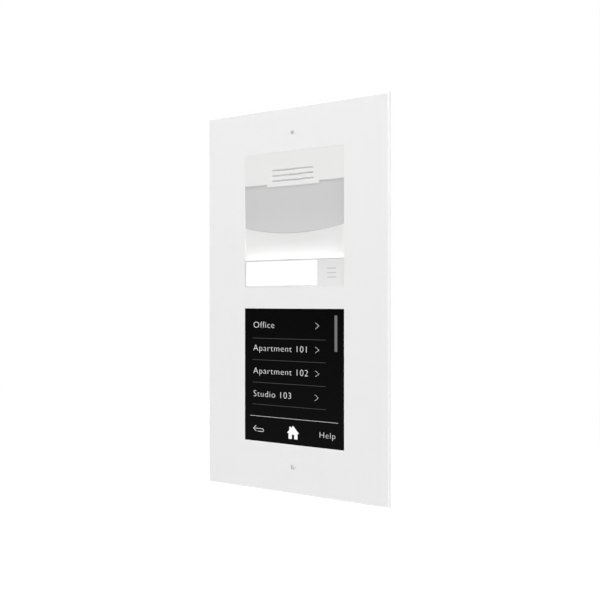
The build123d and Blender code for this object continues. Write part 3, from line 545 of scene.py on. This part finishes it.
screw_tip = box_mm("security_screws")[1][1]
thread_ends = np.arange(seat + THREAD_START, screw_tip - TIP_LENGTH, THREAD_PITCH / 2)
thread_radii = SHANK_RADIUS - THREAD_DEPTH * (np.arange(len(thread_ends)) % 2)
screw_profile = [
    (HEAD_RADIUS, front), (HEAD_RADIUS, seat), (SHANK_RADIUS, seat), (SHANK_RADIUS, seat + PLAIN_SHANK),
    *zip(thread_radii, thread_ends), (SHANK_RADIUS - TIP_CHAMFER, screw_tip)]
half = SQUARE / 2
recess_profile = [(0.0, front), (0.0, front + SQUARE_DEPTH)]
screw_walls = []
recess_walls = []
for height in SCREW_HEIGHTS:
    screw_walls.append(turned((0.0, height), screw_profile))
    square = rectangle(-half, height - half, half, height + half)
    recess_walls.append(carried(square, recess_profile, SQUARE_CORNER))
security_screws = walled_piece("white_security_screws", [*screw_walls, *recess_walls])
finished(security_screws, plate_coat, "station", "screw_white", "security_screws")
security_screws.data.materials.append(square_paint)
centres = np.empty(len(security_screws.data.polygons) * 3)
security_screws.data.polygons.foreach_get("center", centres)
centres = centres.reshape(-1, 3) / MM
in_square = np.abs(centres[:, 0]) < half + 0.01
in_square &= np.abs(np.abs(centres[:, 2]) - SCREW_HEIGHTS[0]) < half + 0.01
in_square &= (centres[:, 1] > front + 0.01) & (centres[:, 1] < front + SQUARE_DEPTH + 0.01)
security_screws.data.polygons.foreach_set("material_index", in_square.astype(np.int32))


# ---- Module housings and chassis ----
# Each module is a tray moulded in black glass-filled plastic that clips into the carrier frame, with a grey
# moulded chassis screwed inside it.

black_plastic = surface(
    "black_moulding", moulded_skin,
    {"Colour": colour_of(44, 44, 46), "Grain": 2200.0, "Mottle": 0.2, "Roughness": 0.5, "Spread": 0.2},
    relief=0.012, Specular_IOR_Level=0.4)
chassis_plastic = surface(
    "grey_chassis_moulding", moulded_skin,
    {"Colour": colour_of(136, 138, 141), "Grain": 1800.0, "Mottle": 0.1, "Roughness": 0.5},
    relief=0.012, Specular_IOR_Level=0.4)
dress(black_plastic, "camera_module_housing", "display_module_housing", "display_bezel", "key_switch_body",
      "lens_holder", "lens_barrel", "speaker_frame")
dress(chassis_plastic, "camera_chassis", "display_chassis")


# ---- Speaker ----
# A small oval speaker: black moulded basket, pressed film cone with rings round its middle, nickel-plated
# magnet, and a woven dust mesh stretched behind the slots of the cover.

WEAVE_THREADS = 2500.0

ring_skin, given, result = skin_group("ring_skin", {"Rings": 260.0, "Roughness": 0.4})
place = add_node(ring_skin, "TexCoord").outputs["Object"]
speaker_low, speaker_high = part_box("speaker_cone")
speaker_middle = (speaker_low + speaker_high) / 2
centred = add_node(ring_skin, "Mapping", Location=tuple(-speaker_middle))
link(ring_skin, place, centred.inputs["Vector"])
rings = add_node(ring_skin, "TexWave", wave_type="RINGS", rings_direction="Y", Distortion=0.0)
link(ring_skin, centred.outputs[0], rings.inputs["Vector"])
link(ring_skin, given.outputs["Rings"], rings.inputs["Scale"])
finish_skin(ring_skin, given, result, rings.outputs["Fac"], 0.25, rings.outputs["Fac"], 0.15)

weave_skin, given, result = skin_group("weave_skin", {"Threads": WEAVE_THREADS, "Roughness": 0.8})
place = add_node(weave_skin, "TexCoord").outputs["Object"]
bands = []
for direction in ("X", "Z"):
    band = add_node(weave_skin, "TexWave", bands_direction=direction)
    link(weave_skin, place, band.inputs["Vector"])
    link(weave_skin, given.outputs["Threads"], band.inputs["Scale"])
    bands.append(band.outputs["Fac"])
over = add_node(weave_skin, "Math", operation="MAXIMUM")
link(weave_skin, bands[0], over.inputs[0])
link(weave_skin, bands[1], over.inputs[1])
finish_skin(weave_skin, given, result, over.outputs[0], 0.7, over.outputs[0], 0.2, middle=0.75)

cone_film = surface("pressed_cone_film", ring_skin, {"Colour": colour_of(70, 70, 74)}, relief=0.2)
# Painted light: the dust mesh is painted nearly white, so that the shaded slots in front of it read lighter.
dust_mesh_painted_light = surface("pale_dust_mesh_painted_light", weave_skin, {"Colour": colour_of(244, 244, 244)}, relief=0.05)
nickel = surface(
    "nickel_plate", metal_skin,
    {"Colour": colour_of(208, 206, 198), "Across": 1500.0, "Along": 1500.0, "Spangle": 900.0,
     "Roughness": 0.22, "Spread": 0.08}, relief=0.002, Metallic=1.0)
dress(cone_film, "speaker_cone")
dress(dust_mesh_painted_light, "speaker_mesh")
dress(nickel, "speaker_magnet", "microphone")


# ---- Speaker cover ----
# A cap moulded in white ABS, clipped over the speaker. Its upper edges are rounded, a tab at its foot laps
# over the camera window, and each of its three slots has a bevel below that throws the sound forward.

COVER_ROUNDING = 0.2
COVER_CORNER = 0.12
COVER_THICKNESS = 1.15
COVER_WALL = 1.4
COVER_BOTTOM = 99.05
SKIRT_BOTTOM = 100.3
SKIRT_LAP = 0.02
TAB_SIZE = (24.3, 96.8)
SLOT_SIZE = (38.0, 1.1)
SLOT_BEVEL = 0.6
SLOT_CORNER = 0.08
SLOT_HEIGHTS = (101.5, 106.0, 110.5)

white_plastic = surface(
    "white_moulding", moulded_skin,
    {"Colour": colour_of(231, 231, 230), "Grain": 3000.0, "Mottle": 0.012, "Roughness": 0.42, "Spread": 0.1},
    relief=0.003, Specular_IOR_Level=0.4)

cover_low, cover_high = box_mm("speaker_cover")
left, right, top = cover_low[0], cover_high[0], cover_high[2]
tab, tab_bottom = TAB_SIZE
cover_corners = np.array([
    (left, COVER_BOTTOM), (-tab, COVER_BOTTOM), (-tab, tab_bottom), (tab, tab_bottom), (tab, COVER_BOTTOM),
    (right, COVER_BOTTOM), (right, top), (left, top)])
# The foot and the tab have crisp edges, and the other three sides are rounded.
edge_weights = np.array([0.25, 0.25, 0.25, 0.25, 0.25, 0.5, 1.0, 0.5])
cover_back = front + COVER_THICKNESS
cap_profile = [*rounded_edge(COVER_ROUNDING, front), (0.0, cover_back)]
cover_walls = [carried(cover_corners, cap_profile, COVER_CORNER, edge_weights)]
foot_only = np.array([1.0, 0.0, 0.0, 0.0])
slot_profile = [(-SLOT_BEVEL, front), (0.0, front + SLOT_BEVEL), (0.0, cover_back)]
half_slot, half_gap = SLOT_SIZE[0] / 2, SLOT_SIZE[1] / 2
for height in SLOT_HEIGHTS:
    slot_corners = rectangle(-half_slot, height - half_gap, half_slot, height + half_gap)
    cover_walls.append(carried(slot_corners, slot_profile, SLOT_CORNER, foot_only))
inner = right - COVER_WALL
skirt_corners = np.array([
    (left, SKIRT_BOTTOM), (-inner, SKIRT_BOTTOM), (-inner, top - COVER_WALL), (inner, top - COVER_WALL),
    (inner, SKIRT_BOTTOM), (right, SKIRT_BOTTOM), (right, top), (left, top)])
skirt_profile = [(0.0, cover_back - SKIRT_LAP), (0.0, cover_high[1])]
cover_walls.append(carried(skirt_corners, skirt_profile, COVER_CORNER))
speaker_cover = walled_piece("white_speaker_cover", cover_walls)
finished(speaker_cover, white_plastic, "station", "cover_white", "speaker_cover")


# ---- Camera window ----
# A polished cap moulded in pale tinted polycarbonate, gently convex from side to side. Its foot is a wide
# arc, where it meets the fairing, and its side walls stand on the module's flange.

WINDOW_FRONT = front + 1.2
WINDOW_SAG = 0.3
WINDOW_BACK = -1.1
WINDOW_TOP = 100.0
WINDOW_ROUNDING = 0.12
ARC_LOW = 56.7
ARC_RADIUS = 189.0
FACE_COLUMNS = 61
FACE_ROWS = 24
WALL_STEP = 0.05


def spread(low, high, count, *more):
    """Evenly spaced values from low to high, with more values among them."""
    return np.unique(np.round(np.concatenate([np.linspace(low, high, count), *more]), 4))


def quarter(radius, steps=6):
    """Distances from an edge that follow a quarter circle evenly: r (1 - cos t)."""
    return radius * (1 - np.cos(np.linspace(0, np.pi / 2, steps + 1)))


def edge_drop(distance, radius):
    """How far a face falls back near an edge: r - sqrt(r^2 - (r - d)^2) within a radius of it, and then 0."""
    short = np.clip(radius - distance, 0, radius)
    return radius - np.sqrt(radius ** 2 - short ** 2)


def arc_height(x):
    """Height of the window's foot: a circle's arc, lowest in the middle."""
    return ARC_LOW + ARC_RADIUS - np.sqrt(ARC_RADIUS ** 2 - x ** 2)


def paired_piece(name, face, rear):
    """A closed piece between a front and a rear grid of the same rows and columns, their borders joined."""
    rows, columns = face.shape[:2]
    size = rows * columns
    number = np.arange(size).reshape(rows, columns)
    quads = np.stack([number[:-1, :-1], number[:-1, 1:], number[1:, 1:], number[1:, :-1]], -1).reshape(-1, 4)
    border = np.concatenate([number[0, :-1], number[:-1, -1], number[-1, :0:-1], number[:0:-1, 0]])
    onward = np.roll(border, -1)
    strip = np.stack([border, border + size, onward + size, onward], -1)
    faces = np.concatenate([quads, quads[:, ::-1] + size, strip])
    points = np.concatenate([face.reshape(-1, 3), rear.reshape(-1, 3)])
    return mesh_piece(name, points, faces.tolist())


glaze_skin, given, result = skin_group("glaze_skin", {"Ripple": 60.0, "Depth": 0.01, "Roughness": 0.06})
place = add_node(glaze_skin, "TexCoord").outputs["Object"]
ripple = noise(glaze_skin, place, given.outputs["Ripple"], 1.0)
finish_skin(glaze_skin, given, result, ripple, given.outputs["Depth"], ripple, 0.02)

window_tint = surface(
    "tinted_polycarbonate", glaze_skin,
    {"Colour": colour_of(210, 210, 210), "Depth": 0.01, "Roughness": 0.12}, Specular_IOR_Level=0.3)

window_high = box_mm("camera_window")[1]
half = window_high[0]
inner = half - COVER_WALL
edge_places = half - quarter(WINDOW_ROUNDING)
wall_places = [-inner - WALL_STEP, -inner, inner, inner + WALL_STEP]
columns = spread(-half, half, FACE_COLUMNS, edge_places, -edge_places, wall_places)
rounding = quarter(WINDOW_ROUNDING)
lifts = np.concatenate([rounding, np.full(FACE_ROWS, WINDOW_ROUNDING)])
shares = np.concatenate([np.zeros(len(rounding)), np.linspace(0, 1, FACE_ROWS + 1)[1:]])
x = np.broadcast_to(columns, (len(lifts), len(columns)))
foot = arc_height(x)
z = foot + lifts[:, None] + shares[:, None] * (WINDOW_TOP - foot - WINDOW_ROUNDING)
bend = (half ** 2 + WINDOW_SAG ** 2) / (2 * WINDOW_SAG)
y = WINDOW_FRONT + bend - np.sqrt(bend ** 2 - x ** 2)
y = y + np.maximum(edge_drop(half - np.abs(x), WINDOW_ROUNDING), edge_drop(z - foot, WINDOW_ROUNDING))
rear = np.where(np.abs(x) > inner + 0.01, window_high[1], WINDOW_BACK)
camera_window = paired_piece("tinted_camera_window", np.stack([x, y, z], -1), np.stack([x, rear, z], -1))
finished(camera_window, window_tint, "station", "window_grey", "camera_window")


# ---- Fairing ----
# A white moulding below the camera window. Its face scoops forward from the window's foot to a lip over the
# call key, and a shelf behind the lip stiffens it.

SCOOP_TOP = 50.0
SCOOP_FOOT = front + 1.6
LIP_HEIGHT = 34.0
LIP_EDGE = 0.15
SIDE_EDGE = 0.08
SHELF = 1.2
FAIRING_WALL = 1.5
ARC_GAP = 0.1
SCOOP_ROWS = 36


def scoop_depth(z):
    """Depth of the scoop's face: an arc that leaves the foot upright and meets the lip at the plate's front.
    Its centre is a radius before the foot, so the depth is foot - r + sqrt(r^2 - (top - z)^2)."""
    rise = SCOOP_TOP - LIP_HEIGHT
    reach = SCOOP_FOOT - front
    radius = (rise ** 2 + reach ** 2) / (2 * reach)
    below = np.clip(SCOOP_TOP - z, 0, None)
    return SCOOP_FOOT - radius + np.sqrt(radius ** 2 - below ** 2)


fairing_high = box_mm("camera_fairing")[1]
half = fairing_high[0]
edge_places = half - quarter(SIDE_EDGE)
columns = spread(-half, half, FACE_COLUMNS, edge_places, -edge_places, wall_places)
shelf_top = SHELF + WALL_STEP
shelf_rows = np.concatenate([quarter(LIP_EDGE), [SHELF, shelf_top]])
lifts = np.concatenate([shelf_rows, np.full(SCOOP_ROWS, shelf_top)])
shares = np.concatenate([np.zeros(len(shelf_rows)), np.linspace(0, 1, SCOOP_ROWS + 1)[1:]])
x = np.broadcast_to(columns, (len(lifts), len(columns)))
crest = arc_height(x) - ARC_GAP
z = LIP_HEIGHT + lifts[:, None] + shares[:, None] * (crest - LIP_HEIGHT - SHELF - WALL_STEP)
y = scoop_depth(z)
deep = (np.abs(x) > inner + 0.01) | (z < LIP_HEIGHT + SHELF + 0.01)
rear = np.where(deep, fairing_high[1], y + FAIRING_WALL)
y = y + np.maximum(edge_drop(half - np.abs(x), SIDE_EDGE), edge_drop(z - LIP_HEIGHT, LIP_EDGE))
# Painted light: the cover's white plastic, painted lighter here to make up for the shade of the fairing's
# recess.
fairing_painted_lighter = surface(
    "white_fairing_painted_lighter", moulded_skin,
    {"Colour": colour_of(236, 236, 235), "Grain": 3000.0, "Mottle": 0.012, "Roughness": 0.42, "Spread": 0.1},
    relief=0.003, Specular_IOR_Level=0.4)
camera_fairing = paired_piece("white_fairing", np.stack([x, y, z], -1), np.stack([x, rear, z], -1))
finished(camera_fairing, fairing_painted_lighter, "station", "cover_white", "camera_fairing")


# ---- Camera ----
# A camera board with its sensor under a black lens holder, a threaded barrel with a coated front element,
# and three white lights at each side for the night.

lens_coat = surface(
    "coated_lens_glass", glaze_skin,
    {"Colour": colour_of(96, 84, 150), "Ripple": 300.0, "Depth": 0.2, "Roughness": 0.03},
    Transmission_Weight=0.85, IOR=1.6)
sensor_die = surface(
    "sensor_die", weave_skin, {"Colour": colour_of(58, 70, 80), "Threads": 6000.0, "Roughness": 0.2},
    Coat_Weight=0.6)
light_phosphor = surface(
    "light_phosphor", moulded_skin,
    {"Colour": colour_of(238, 226, 150), "Grain": 4000.0, "Mottle": 0.1, "Roughness": 0.35},
    Subsurface_Weight=0.1)
dress(lens_coat, "lens_glass")
dress(sensor_die, "image_sensor")
dress(light_phosphor, "night_light_leds", "key_leds")

rubber = surface(
    "boot_rubber", moulded_skin,
    {"Colour": colour_of(52, 52, 53), "Grain": 1500.0, "Mottle": 0.15, "Roughness": 0.75, "Spread": 0.15},
    relief=0.02, Specular_IOR_Level=0.3)
dress(rubber, "microphone_boot")


# ---- Call key and nameplate ----
# One long rocker moulded in light grey plastic, hinged at its left end, with three grooves where it is
# pressed. A window printed white on its back covers the blank name strip, and lamps light it from behind.

key_plastic = surface(
    "light_grey_key_moulding", moulded_skin,
    {"Colour": colour_of(231, 231, 230), "Grain": 3000.0, "Mottle": 0.012, "Roughness": 0.5, "Spread": 0.1},
    relief=0.003, Specular_IOR_Level=0.35)
name_glaze = surface(
    "white_backed_name_window", glaze_skin,
    {"Colour": colour_of(252, 252, 252), "Depth": 0.004, "Roughness": 0.08},
    IOR=1.49, Emission_Color=(1.0, 1.0, 1.0, 1.0), Emission_Strength=0.3)
name_strip = surface(
    "blank_name_strip", moulded_skin,
    {"Colour": colour_of(250, 250, 250), "Grain": 5000.0, "Mottle": 0.01, "Roughness": 0.6},
    Emission_Color=(1.0, 1.0, 1.0, 1.0), Emission_Strength=0.4)
opal = surface(
    "opal_diffuser", moulded_skin,
    {"Colour": colour_of(240, 240, 238), "Grain": 800.0, "Mottle": 0.03, "Roughness": 0.5})
red_plastic = surface(
    "red_plunger_moulding", moulded_skin,
    {"Colour": colour_of(196, 44, 36), "Grain": 3000.0, "Mottle": 0.08, "Roughness": 0.4}, relief=0.004)
dress(key_plastic, "call_key")

# The three grooves are filled with a darker ink, a little below the key's face.
MARK_SIZE = (8.1, 1.0)
MARK_MIDDLE = (35.35, 22.3)
MARK_PITCH = 3.65
MARK_DEPTHS = (0.02, 0.4)
MARK_CORNER = 0.05
mark_ink = surface(
    "grey_key_ink", moulded_skin,
    {"Colour": colour_of(206, 206, 206), "Grain": 3000.0, "Mottle": 0.02, "Roughness": 0.6},
    Specular_IOR_Level=0.3)
key_front = box_mm("call_key")[0][1]
mark_profile = [(0.0, key_front + depth) for depth in MARK_DEPTHS]
half_length, half_gap = MARK_SIZE[0] / 2, MARK_SIZE[1] / 2
mark_left, mark_right = MARK_MIDDLE[0] - half_length, MARK_MIDDLE[0] + half_length
marks = []
for step in (-1, 0, 1):
    middle = MARK_MIDDLE[1] + step * MARK_PITCH
    bar = rectangle(mark_left, middle - half_gap, mark_right, middle + half_gap)
    marks.append(carried(bar, mark_profile, MARK_CORNER))
key_marks = walled_piece("grey_key_marks", marks)
finished(key_marks, mark_ink, "key", "key_grey")

dress(name_glaze, "nameplate_window")
dress(name_strip, "name_label")
dress(opal, "label_diffuser", "backlight_unit")
dress(red_plastic, "key_switch_plunger")


# ---- Return spring ----
# An open coil of drawn steel wire behind the key's free end, its end turns closed up. It stands between the
# key and the board behind it, at the length it has while the key is at rest.

SPRING_RADIUS = 2.6
SPRING_WIRE = 0.45
SPRING_TURNS = 6.0


def wound(middle, low, high, radius, wire, turns, steps=40, sides=12):
    """A wire wound about a line square to the wall. The path is (x + r cos a, y, z + r sin a), with a from 0
    to 2 pi times the turns. Its depth y rises slowly in the first and last tenth of the wire and fast between
    them, and a circle of wire is carried along it."""
    share = np.linspace(0, 1, int(turns * steps) + 1)
    angle = 2 * np.pi * turns * share
    closed = np.clip((share - 0.1) / 0.8, 0, 1)
    depth = low + wire / 2 + (high - low - wire) * (0.16 * share + 0.84 * closed)
    path = np.stack([middle[0] + radius * np.cos(angle), depth, middle[1] + radius * np.sin(angle)], -1)
    ahead = np.gradient(path, axis=0)
    ahead /= np.linalg.norm(ahead, axis=1, keepdims=True)
    out = np.stack([np.cos(angle), np.zeros_like(angle), np.sin(angle)], -1)
    across = np.cross(ahead, out)
    around_wire = np.linspace(0, 2 * np.pi, sides, endpoint=False)[:, None]
    ring = wire / 2 * (np.cos(around_wire) * out[:, None] + np.sin(around_wire) * across[:, None])
    return path[:, None] + ring


spring_low, spring_high = box_mm("key_return_spring")
spring_middle = (spring_low + spring_high) / 2
coil = wound((spring_middle[0], spring_middle[2]), spring_low[1], spring_high[1], SPRING_RADIUS, SPRING_WIRE,
             SPRING_TURNS)
count, sides = coil.shape[:2]
number = np.arange(count * sides).reshape(count, sides)
onward = np.roll(number, -1, 1)
coil_faces = np.stack([number[:-1], onward[:-1], onward[1:], number[1:]], -1).reshape(-1, 4).tolist()
coil_faces += [number[0].tolist(), number[-1].tolist()]
return_spring = mesh_piece("coiled_return_spring", coil.reshape(-1, 3), coil_faces, 50.0)
spring_wire = surface(
    "drawn_spring_wire", metal_skin,
    {"Colour": colour_of(188, 188, 192), "Across": 4000.0, "Along": 4000.0, "Spangle": 2000.0,
     "Roughness": 0.3}, relief=0.002, Metallic=1.0)
finished(return_spring, spring_wire, "station", "spring_steel", "key_return_spring")
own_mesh(return_spring)


# ---- Circuit boards, terminals and link ----
# Four green boards with tinned tracks, a green six-pole terminal block for the door's wires, and a flat grey
# ribbon between the modules' nylon connectors.

board_skin, given, result = skin_group("board_skin", {"Tracks": 140.0, "Roughness": 0.3})
place = add_node(board_skin, "TexCoord").outputs["Object"]
blocks = add_node(board_skin, "TexBrick", Scale=1.0, Mortar_Size=0.02, Brick_Width=0.5, Row_Height=0.12)
grid = add_node(board_skin, "VectorMath", operation="SCALE")
turned_up = add_node(board_skin, "Mapping", Rotation=(math.radians(90), 0, 0))
link(board_skin, place, turned_up.inputs["Vector"])
link(board_skin, turned_up.outputs[0], grid.inputs[0])
link(board_skin, given.outputs["Tracks"], grid.inputs["Scale"])
link(board_skin, grid.outputs[0], blocks.inputs["Vector"])
finish_skin(board_skin, given, result, blocks.outputs["Fac"], 0.9, blocks.outputs["Fac"], 0.1, middle=1.2)

rib_skin, given, result = skin_group("rib_skin", {"Ribs": 120.0, "Roughness": 0.5})
place = add_node(rib_skin, "TexCoord").outputs["Object"]
ribs = add_node(rib_skin, "TexWave", bands_direction="X")
link(rib_skin, place, ribs.inputs["Vector"])
link(rib_skin, given.outputs["Ribs"], ribs.inputs["Scale"])
finish_skin(rib_skin, given, result, ribs.outputs["Fac"], 0.5, ribs.outputs["Fac"], 0.1)

solder_mask = surface(
    "green_solder_mask", board_skin, {"Colour": colour_of(28, 104, 62)}, relief=0.03, Coat_Weight=0.3)
green_plastic = surface(
    "green_terminal_moulding", moulded_skin,
    {"Colour": colour_of(62, 150, 84), "Grain": 2500.0, "Mottle": 0.1, "Roughness": 0.45}, relief=0.006)
nylon = surface(
    "cream_nylon", moulded_skin,
    {"Colour": colour_of(236, 232, 218), "Grain": 3000.0, "Mottle": 0.05, "Roughness": 0.45}, relief=0.004)
ribbon = surface(
    "grey_ribbon", rib_skin, {"Colour": colour_of(166, 168, 170), "Ribs": 125.0}, relief=0.2)
polyimide = surface(
    "amber_polyimide", rib_skin, {"Colour": colour_of(196, 120, 40), "Ribs": 300.0, "Roughness": 0.3},
    relief=0.02)
dress(solder_mask, "camera_board", "key_board", "main_board", "display_board")
dress(green_plastic, "terminal_block")
dress(nylon, "link_connectors")
dress(ribbon, "link_cable")
dress(polyimide, "display_flex")


# ---- Display ----
# A cover glass, black-backed round its edge, is taped over a touch panel with its backlight and steel tray.
# The menu is drawn on it in light grey: four places to call, a scroll bar, and two icons and a word below.

INK_THICKNESS = 0.03
LEVEL_TEXT = 252
LEVEL_ICON = 254
LEVEL_RULE = 86
LEVEL_BAR = 116
STROKE_CUT = 0.17
LETTER_SPACE = 1.1

cover_glass = surface(
    "black_cover_glass", glaze_skin,
    {"Colour": colour_of(4, 4, 4), "Ripple": 20.0, "Depth": 0.05, "Roughness": 0.04},
    Specular_IOR_Level=0.5)
panel_film = surface(
    "panel_film", weave_skin, {"Colour": colour_of(22, 22, 26), "Threads": 5000.0, "Roughness": 0.25})
dress(cover_glass, "display_glass")
dress(panel_film, "lcd_panel")


def lit_ink(name, level):
    """Ink of the screen: black to the room's light, and lit from behind with a slow unevenness."""
    material = surface(
        name, glaze_skin, {"Colour": colour_of(8, 8, 8), "Roughness": 0.1}, Emission_Strength=1.0)
    tree = material.node_tree
    backlight = tree.nodes.new("ShaderNodeGroup")
    backlight.node_tree = glaze_skin
    backlight.inputs["Colour"].default_value = colour_of(level, level, level)
    backlight.inputs["Ripple"].default_value = 25.0
    backlight.inputs["Depth"].default_value = 0.06
    link(tree, backlight.outputs["Colour"], tree.nodes["Principled BSDF"].inputs["Emission Color"])
    return material


ink_back = box_mm("display_glass")[0][1]
ink_front = ink_back - INK_THICKNESS


def drawn_piece(name, shapes, material):
    """Flat shapes on the glass, each a polygon of (x, z) points, made solid by the thickness of the ink."""
    walls = []
    for corners in shapes:
        across, upwards = np.array(corners, float).T
        walls.append(np.array([np.column_stack([across, np.full(len(across), depth), upwards])
                               for depth in (ink_front, ink_back)]))
    finished(walled_piece(name, walls), material, "station", "display_glass")


def written_piece(name, lines, material):
    """Words on the glass. Each line is (text, x, middle z, cap height, how x is used)."""
    points = []
    faces = []
    start = 0
    for words, at, height, capital, align in lines:
        curve = bpy.data.curves.new("words", "FONT")
        curve.resolution_u = 4
        holder = bpy.data.objects.new("words", curve)
        bpy.context.scene.collection.objects.link(holder)
        curve.body = "E"
        bpy.context.view_layer.update()
        unit = holder.dimensions[1]
        curve.body = words
        curve.align_x = align
        curve.size = capital / unit
        curve.offset = -STROKE_CUT
        curve.space_character = LETTER_SPACE
        curve.extrude = INK_THICKNESS / 2
        bpy.context.view_layer.update()
        flat = bpy.data.meshes.new_from_object(holder)
        shape = bmesh.new()
        shape.from_mesh(flat)
        bmesh.ops.remove_doubles(shape, verts=shape.verts, dist=1e-5)
        shape.to_mesh(flat)
        shape.free()
        corner = np.empty(len(flat.vertices) * 3)
        flat.vertices.foreach_get("co", corner)
        corner = corner.reshape(-1, 3)
        middle = (ink_front + ink_back) / 2
        placed = np.stack([corner[:, 0] + at, middle - corner[:, 2], corner[:, 1] + height - capital / 2], -1)
        points.append(placed)
        faces += [[start + vertex for vertex in polygon.vertices] for polygon in flat.polygons]
        start += len(placed)
        bpy.data.objects.remove(holder)
        bpy.data.meshes.remove(flat)
    finished(mesh_piece(name, np.concatenate(points), faces), material, "station", "display_glass")


text_ink = lit_ink("text_ink", LEVEL_TEXT)
rule_ink = lit_ink("rule_ink", LEVEL_RULE)
bar_ink = lit_ink("bar_ink", LEVEL_BAR)

ROW_HEIGHTS = (-21.5, -41.4, -61.1, -81.0)
ROW_WORDS = ("Office", "Apartment 101", "Apartment 102", "Studio 103")
ROW_LEFT = -38.1
ROW_CAPITAL = 5.3
HELP_PLACE = (31.6, -111.3)
HELP_CAPITAL = 4.9
menu = [(words, ROW_LEFT, height, ROW_CAPITAL, "LEFT") for words, height in zip(ROW_WORDS, ROW_HEIGHTS)]
menu.append(("Help", *HELP_PLACE, HELP_CAPITAL, "CENTER"))
written_piece("menu_words", menu, text_ink)

RULE_HEIGHTS = (-33.1, -51.8, -71.3, -90.3)
RULE_LEFT, RULE_RIGHT = -38.8, 30.2
RULE_HALF = 0.14
FOOT_RULE = (-41.1, -100.56, 41.1, -100.34)
SCROLL_BAR = (38.0, -42.4, 40.4, -12.8)
rules = [rectangle(RULE_LEFT, height - RULE_HALF, RULE_RIGHT, height + RULE_HALF) for height in RULE_HEIGHTS]
drawn_piece("menu_rules", rules, rule_ink)
drawn_piece("foot_rule", [rectangle(*FOOT_RULE)], text_ink)
drawn_piece("scroll_bar", [rectangle(*SCROLL_BAR)], bar_ink)


def chevron(x, z, width, height, stroke):
    """A mark that points right: two strokes at an angle, as one polygon."""
    half_height = height / 2
    shift = stroke * math.hypot(width, half_height) / half_height
    return [(x, z + half_height), (x + width - shift, z), (x, z - half_height), (x + shift, z - half_height),
            (x + width, z), (x + shift, z + half_height)]


CHEVRON_PLACES = (20.7, 20.7, 20.7, 20.2)
CHEVRON_DROP = 0.1
CHEVRON_SIZE = (3.6, 5.2)
CHEVRON_STROKE = 0.2
chevrons = [chevron(x, height - CHEVRON_DROP, *CHEVRON_SIZE, CHEVRON_STROKE)[::-1]
            for x, height in zip(CHEVRON_PLACES, ROW_HEIGHTS)]
drawn_piece("row_chevrons", chevrons, text_ink)

# The home icon: a roof with a chimney over a body with a doorway.
HOME_PLACE = (0.35, -111.7)
home = np.array([
    (-5.7, -0.7), (-4.2, -0.7), (-4.2, -5.6), (-1.1, -5.6), (-1.1, -1.9), (1.1, -1.9), (1.1, -5.6),
    (4.2, -5.6), (4.2, -0.7), (5.7, -0.7), (0.0, 5.6), (-2.0, 3.4), (-2.0, 4.6), (-3.4, 4.6), (-3.4, 1.9)])
drawn_piece("home_icon", [home + HOME_PLACE], lit_ink("white_ink", LEVEL_ICON))

# The back icon: an arrow to the left whose tail turns under it and ends in the middle.
TAIL_RADIUS = 1.2
TAIL_STROKE = 0.36
TAIL_PLACE = (-29.1, -112.4)
TAIL_START = -37.2
TAIL_END = -33.6
ARROW_TIP = -38.1
tail_turn = np.linspace(np.pi / 2, -np.pi / 2, 17)
tail_middle = np.array(TAIL_PLACE)
ray_round = np.column_stack([np.cos(tail_turn), np.sin(tail_turn)])
outer = tail_middle + (TAIL_RADIUS + TAIL_STROKE / 2) * ray_round
inner_turn = tail_middle + (TAIL_RADIUS - TAIL_STROKE / 2) * ray_round
tail_end = [(TAIL_END, outer[-1][1]), (TAIL_END, inner_turn[-1][1])]
tail = np.concatenate([[(TAIL_START, outer[0][1])], outer, tail_end,
                       inner_turn[::-1], [(TAIL_START, inner_turn[0][1])]])
tip = np.array([ARROW_TIP, tail_middle[1] + TAIL_RADIUS])
head = tip + np.array([(0.0, 0.0), (2.85, 2.6), (3.1, 2.32), (0.5, 0.0), (3.1, -2.32), (2.85, -2.6)])
drawn_piece("back_icon_tail", [tail[::-1]], text_ink)
drawn_piece("back_icon_head", [head[::-1]], text_ink)
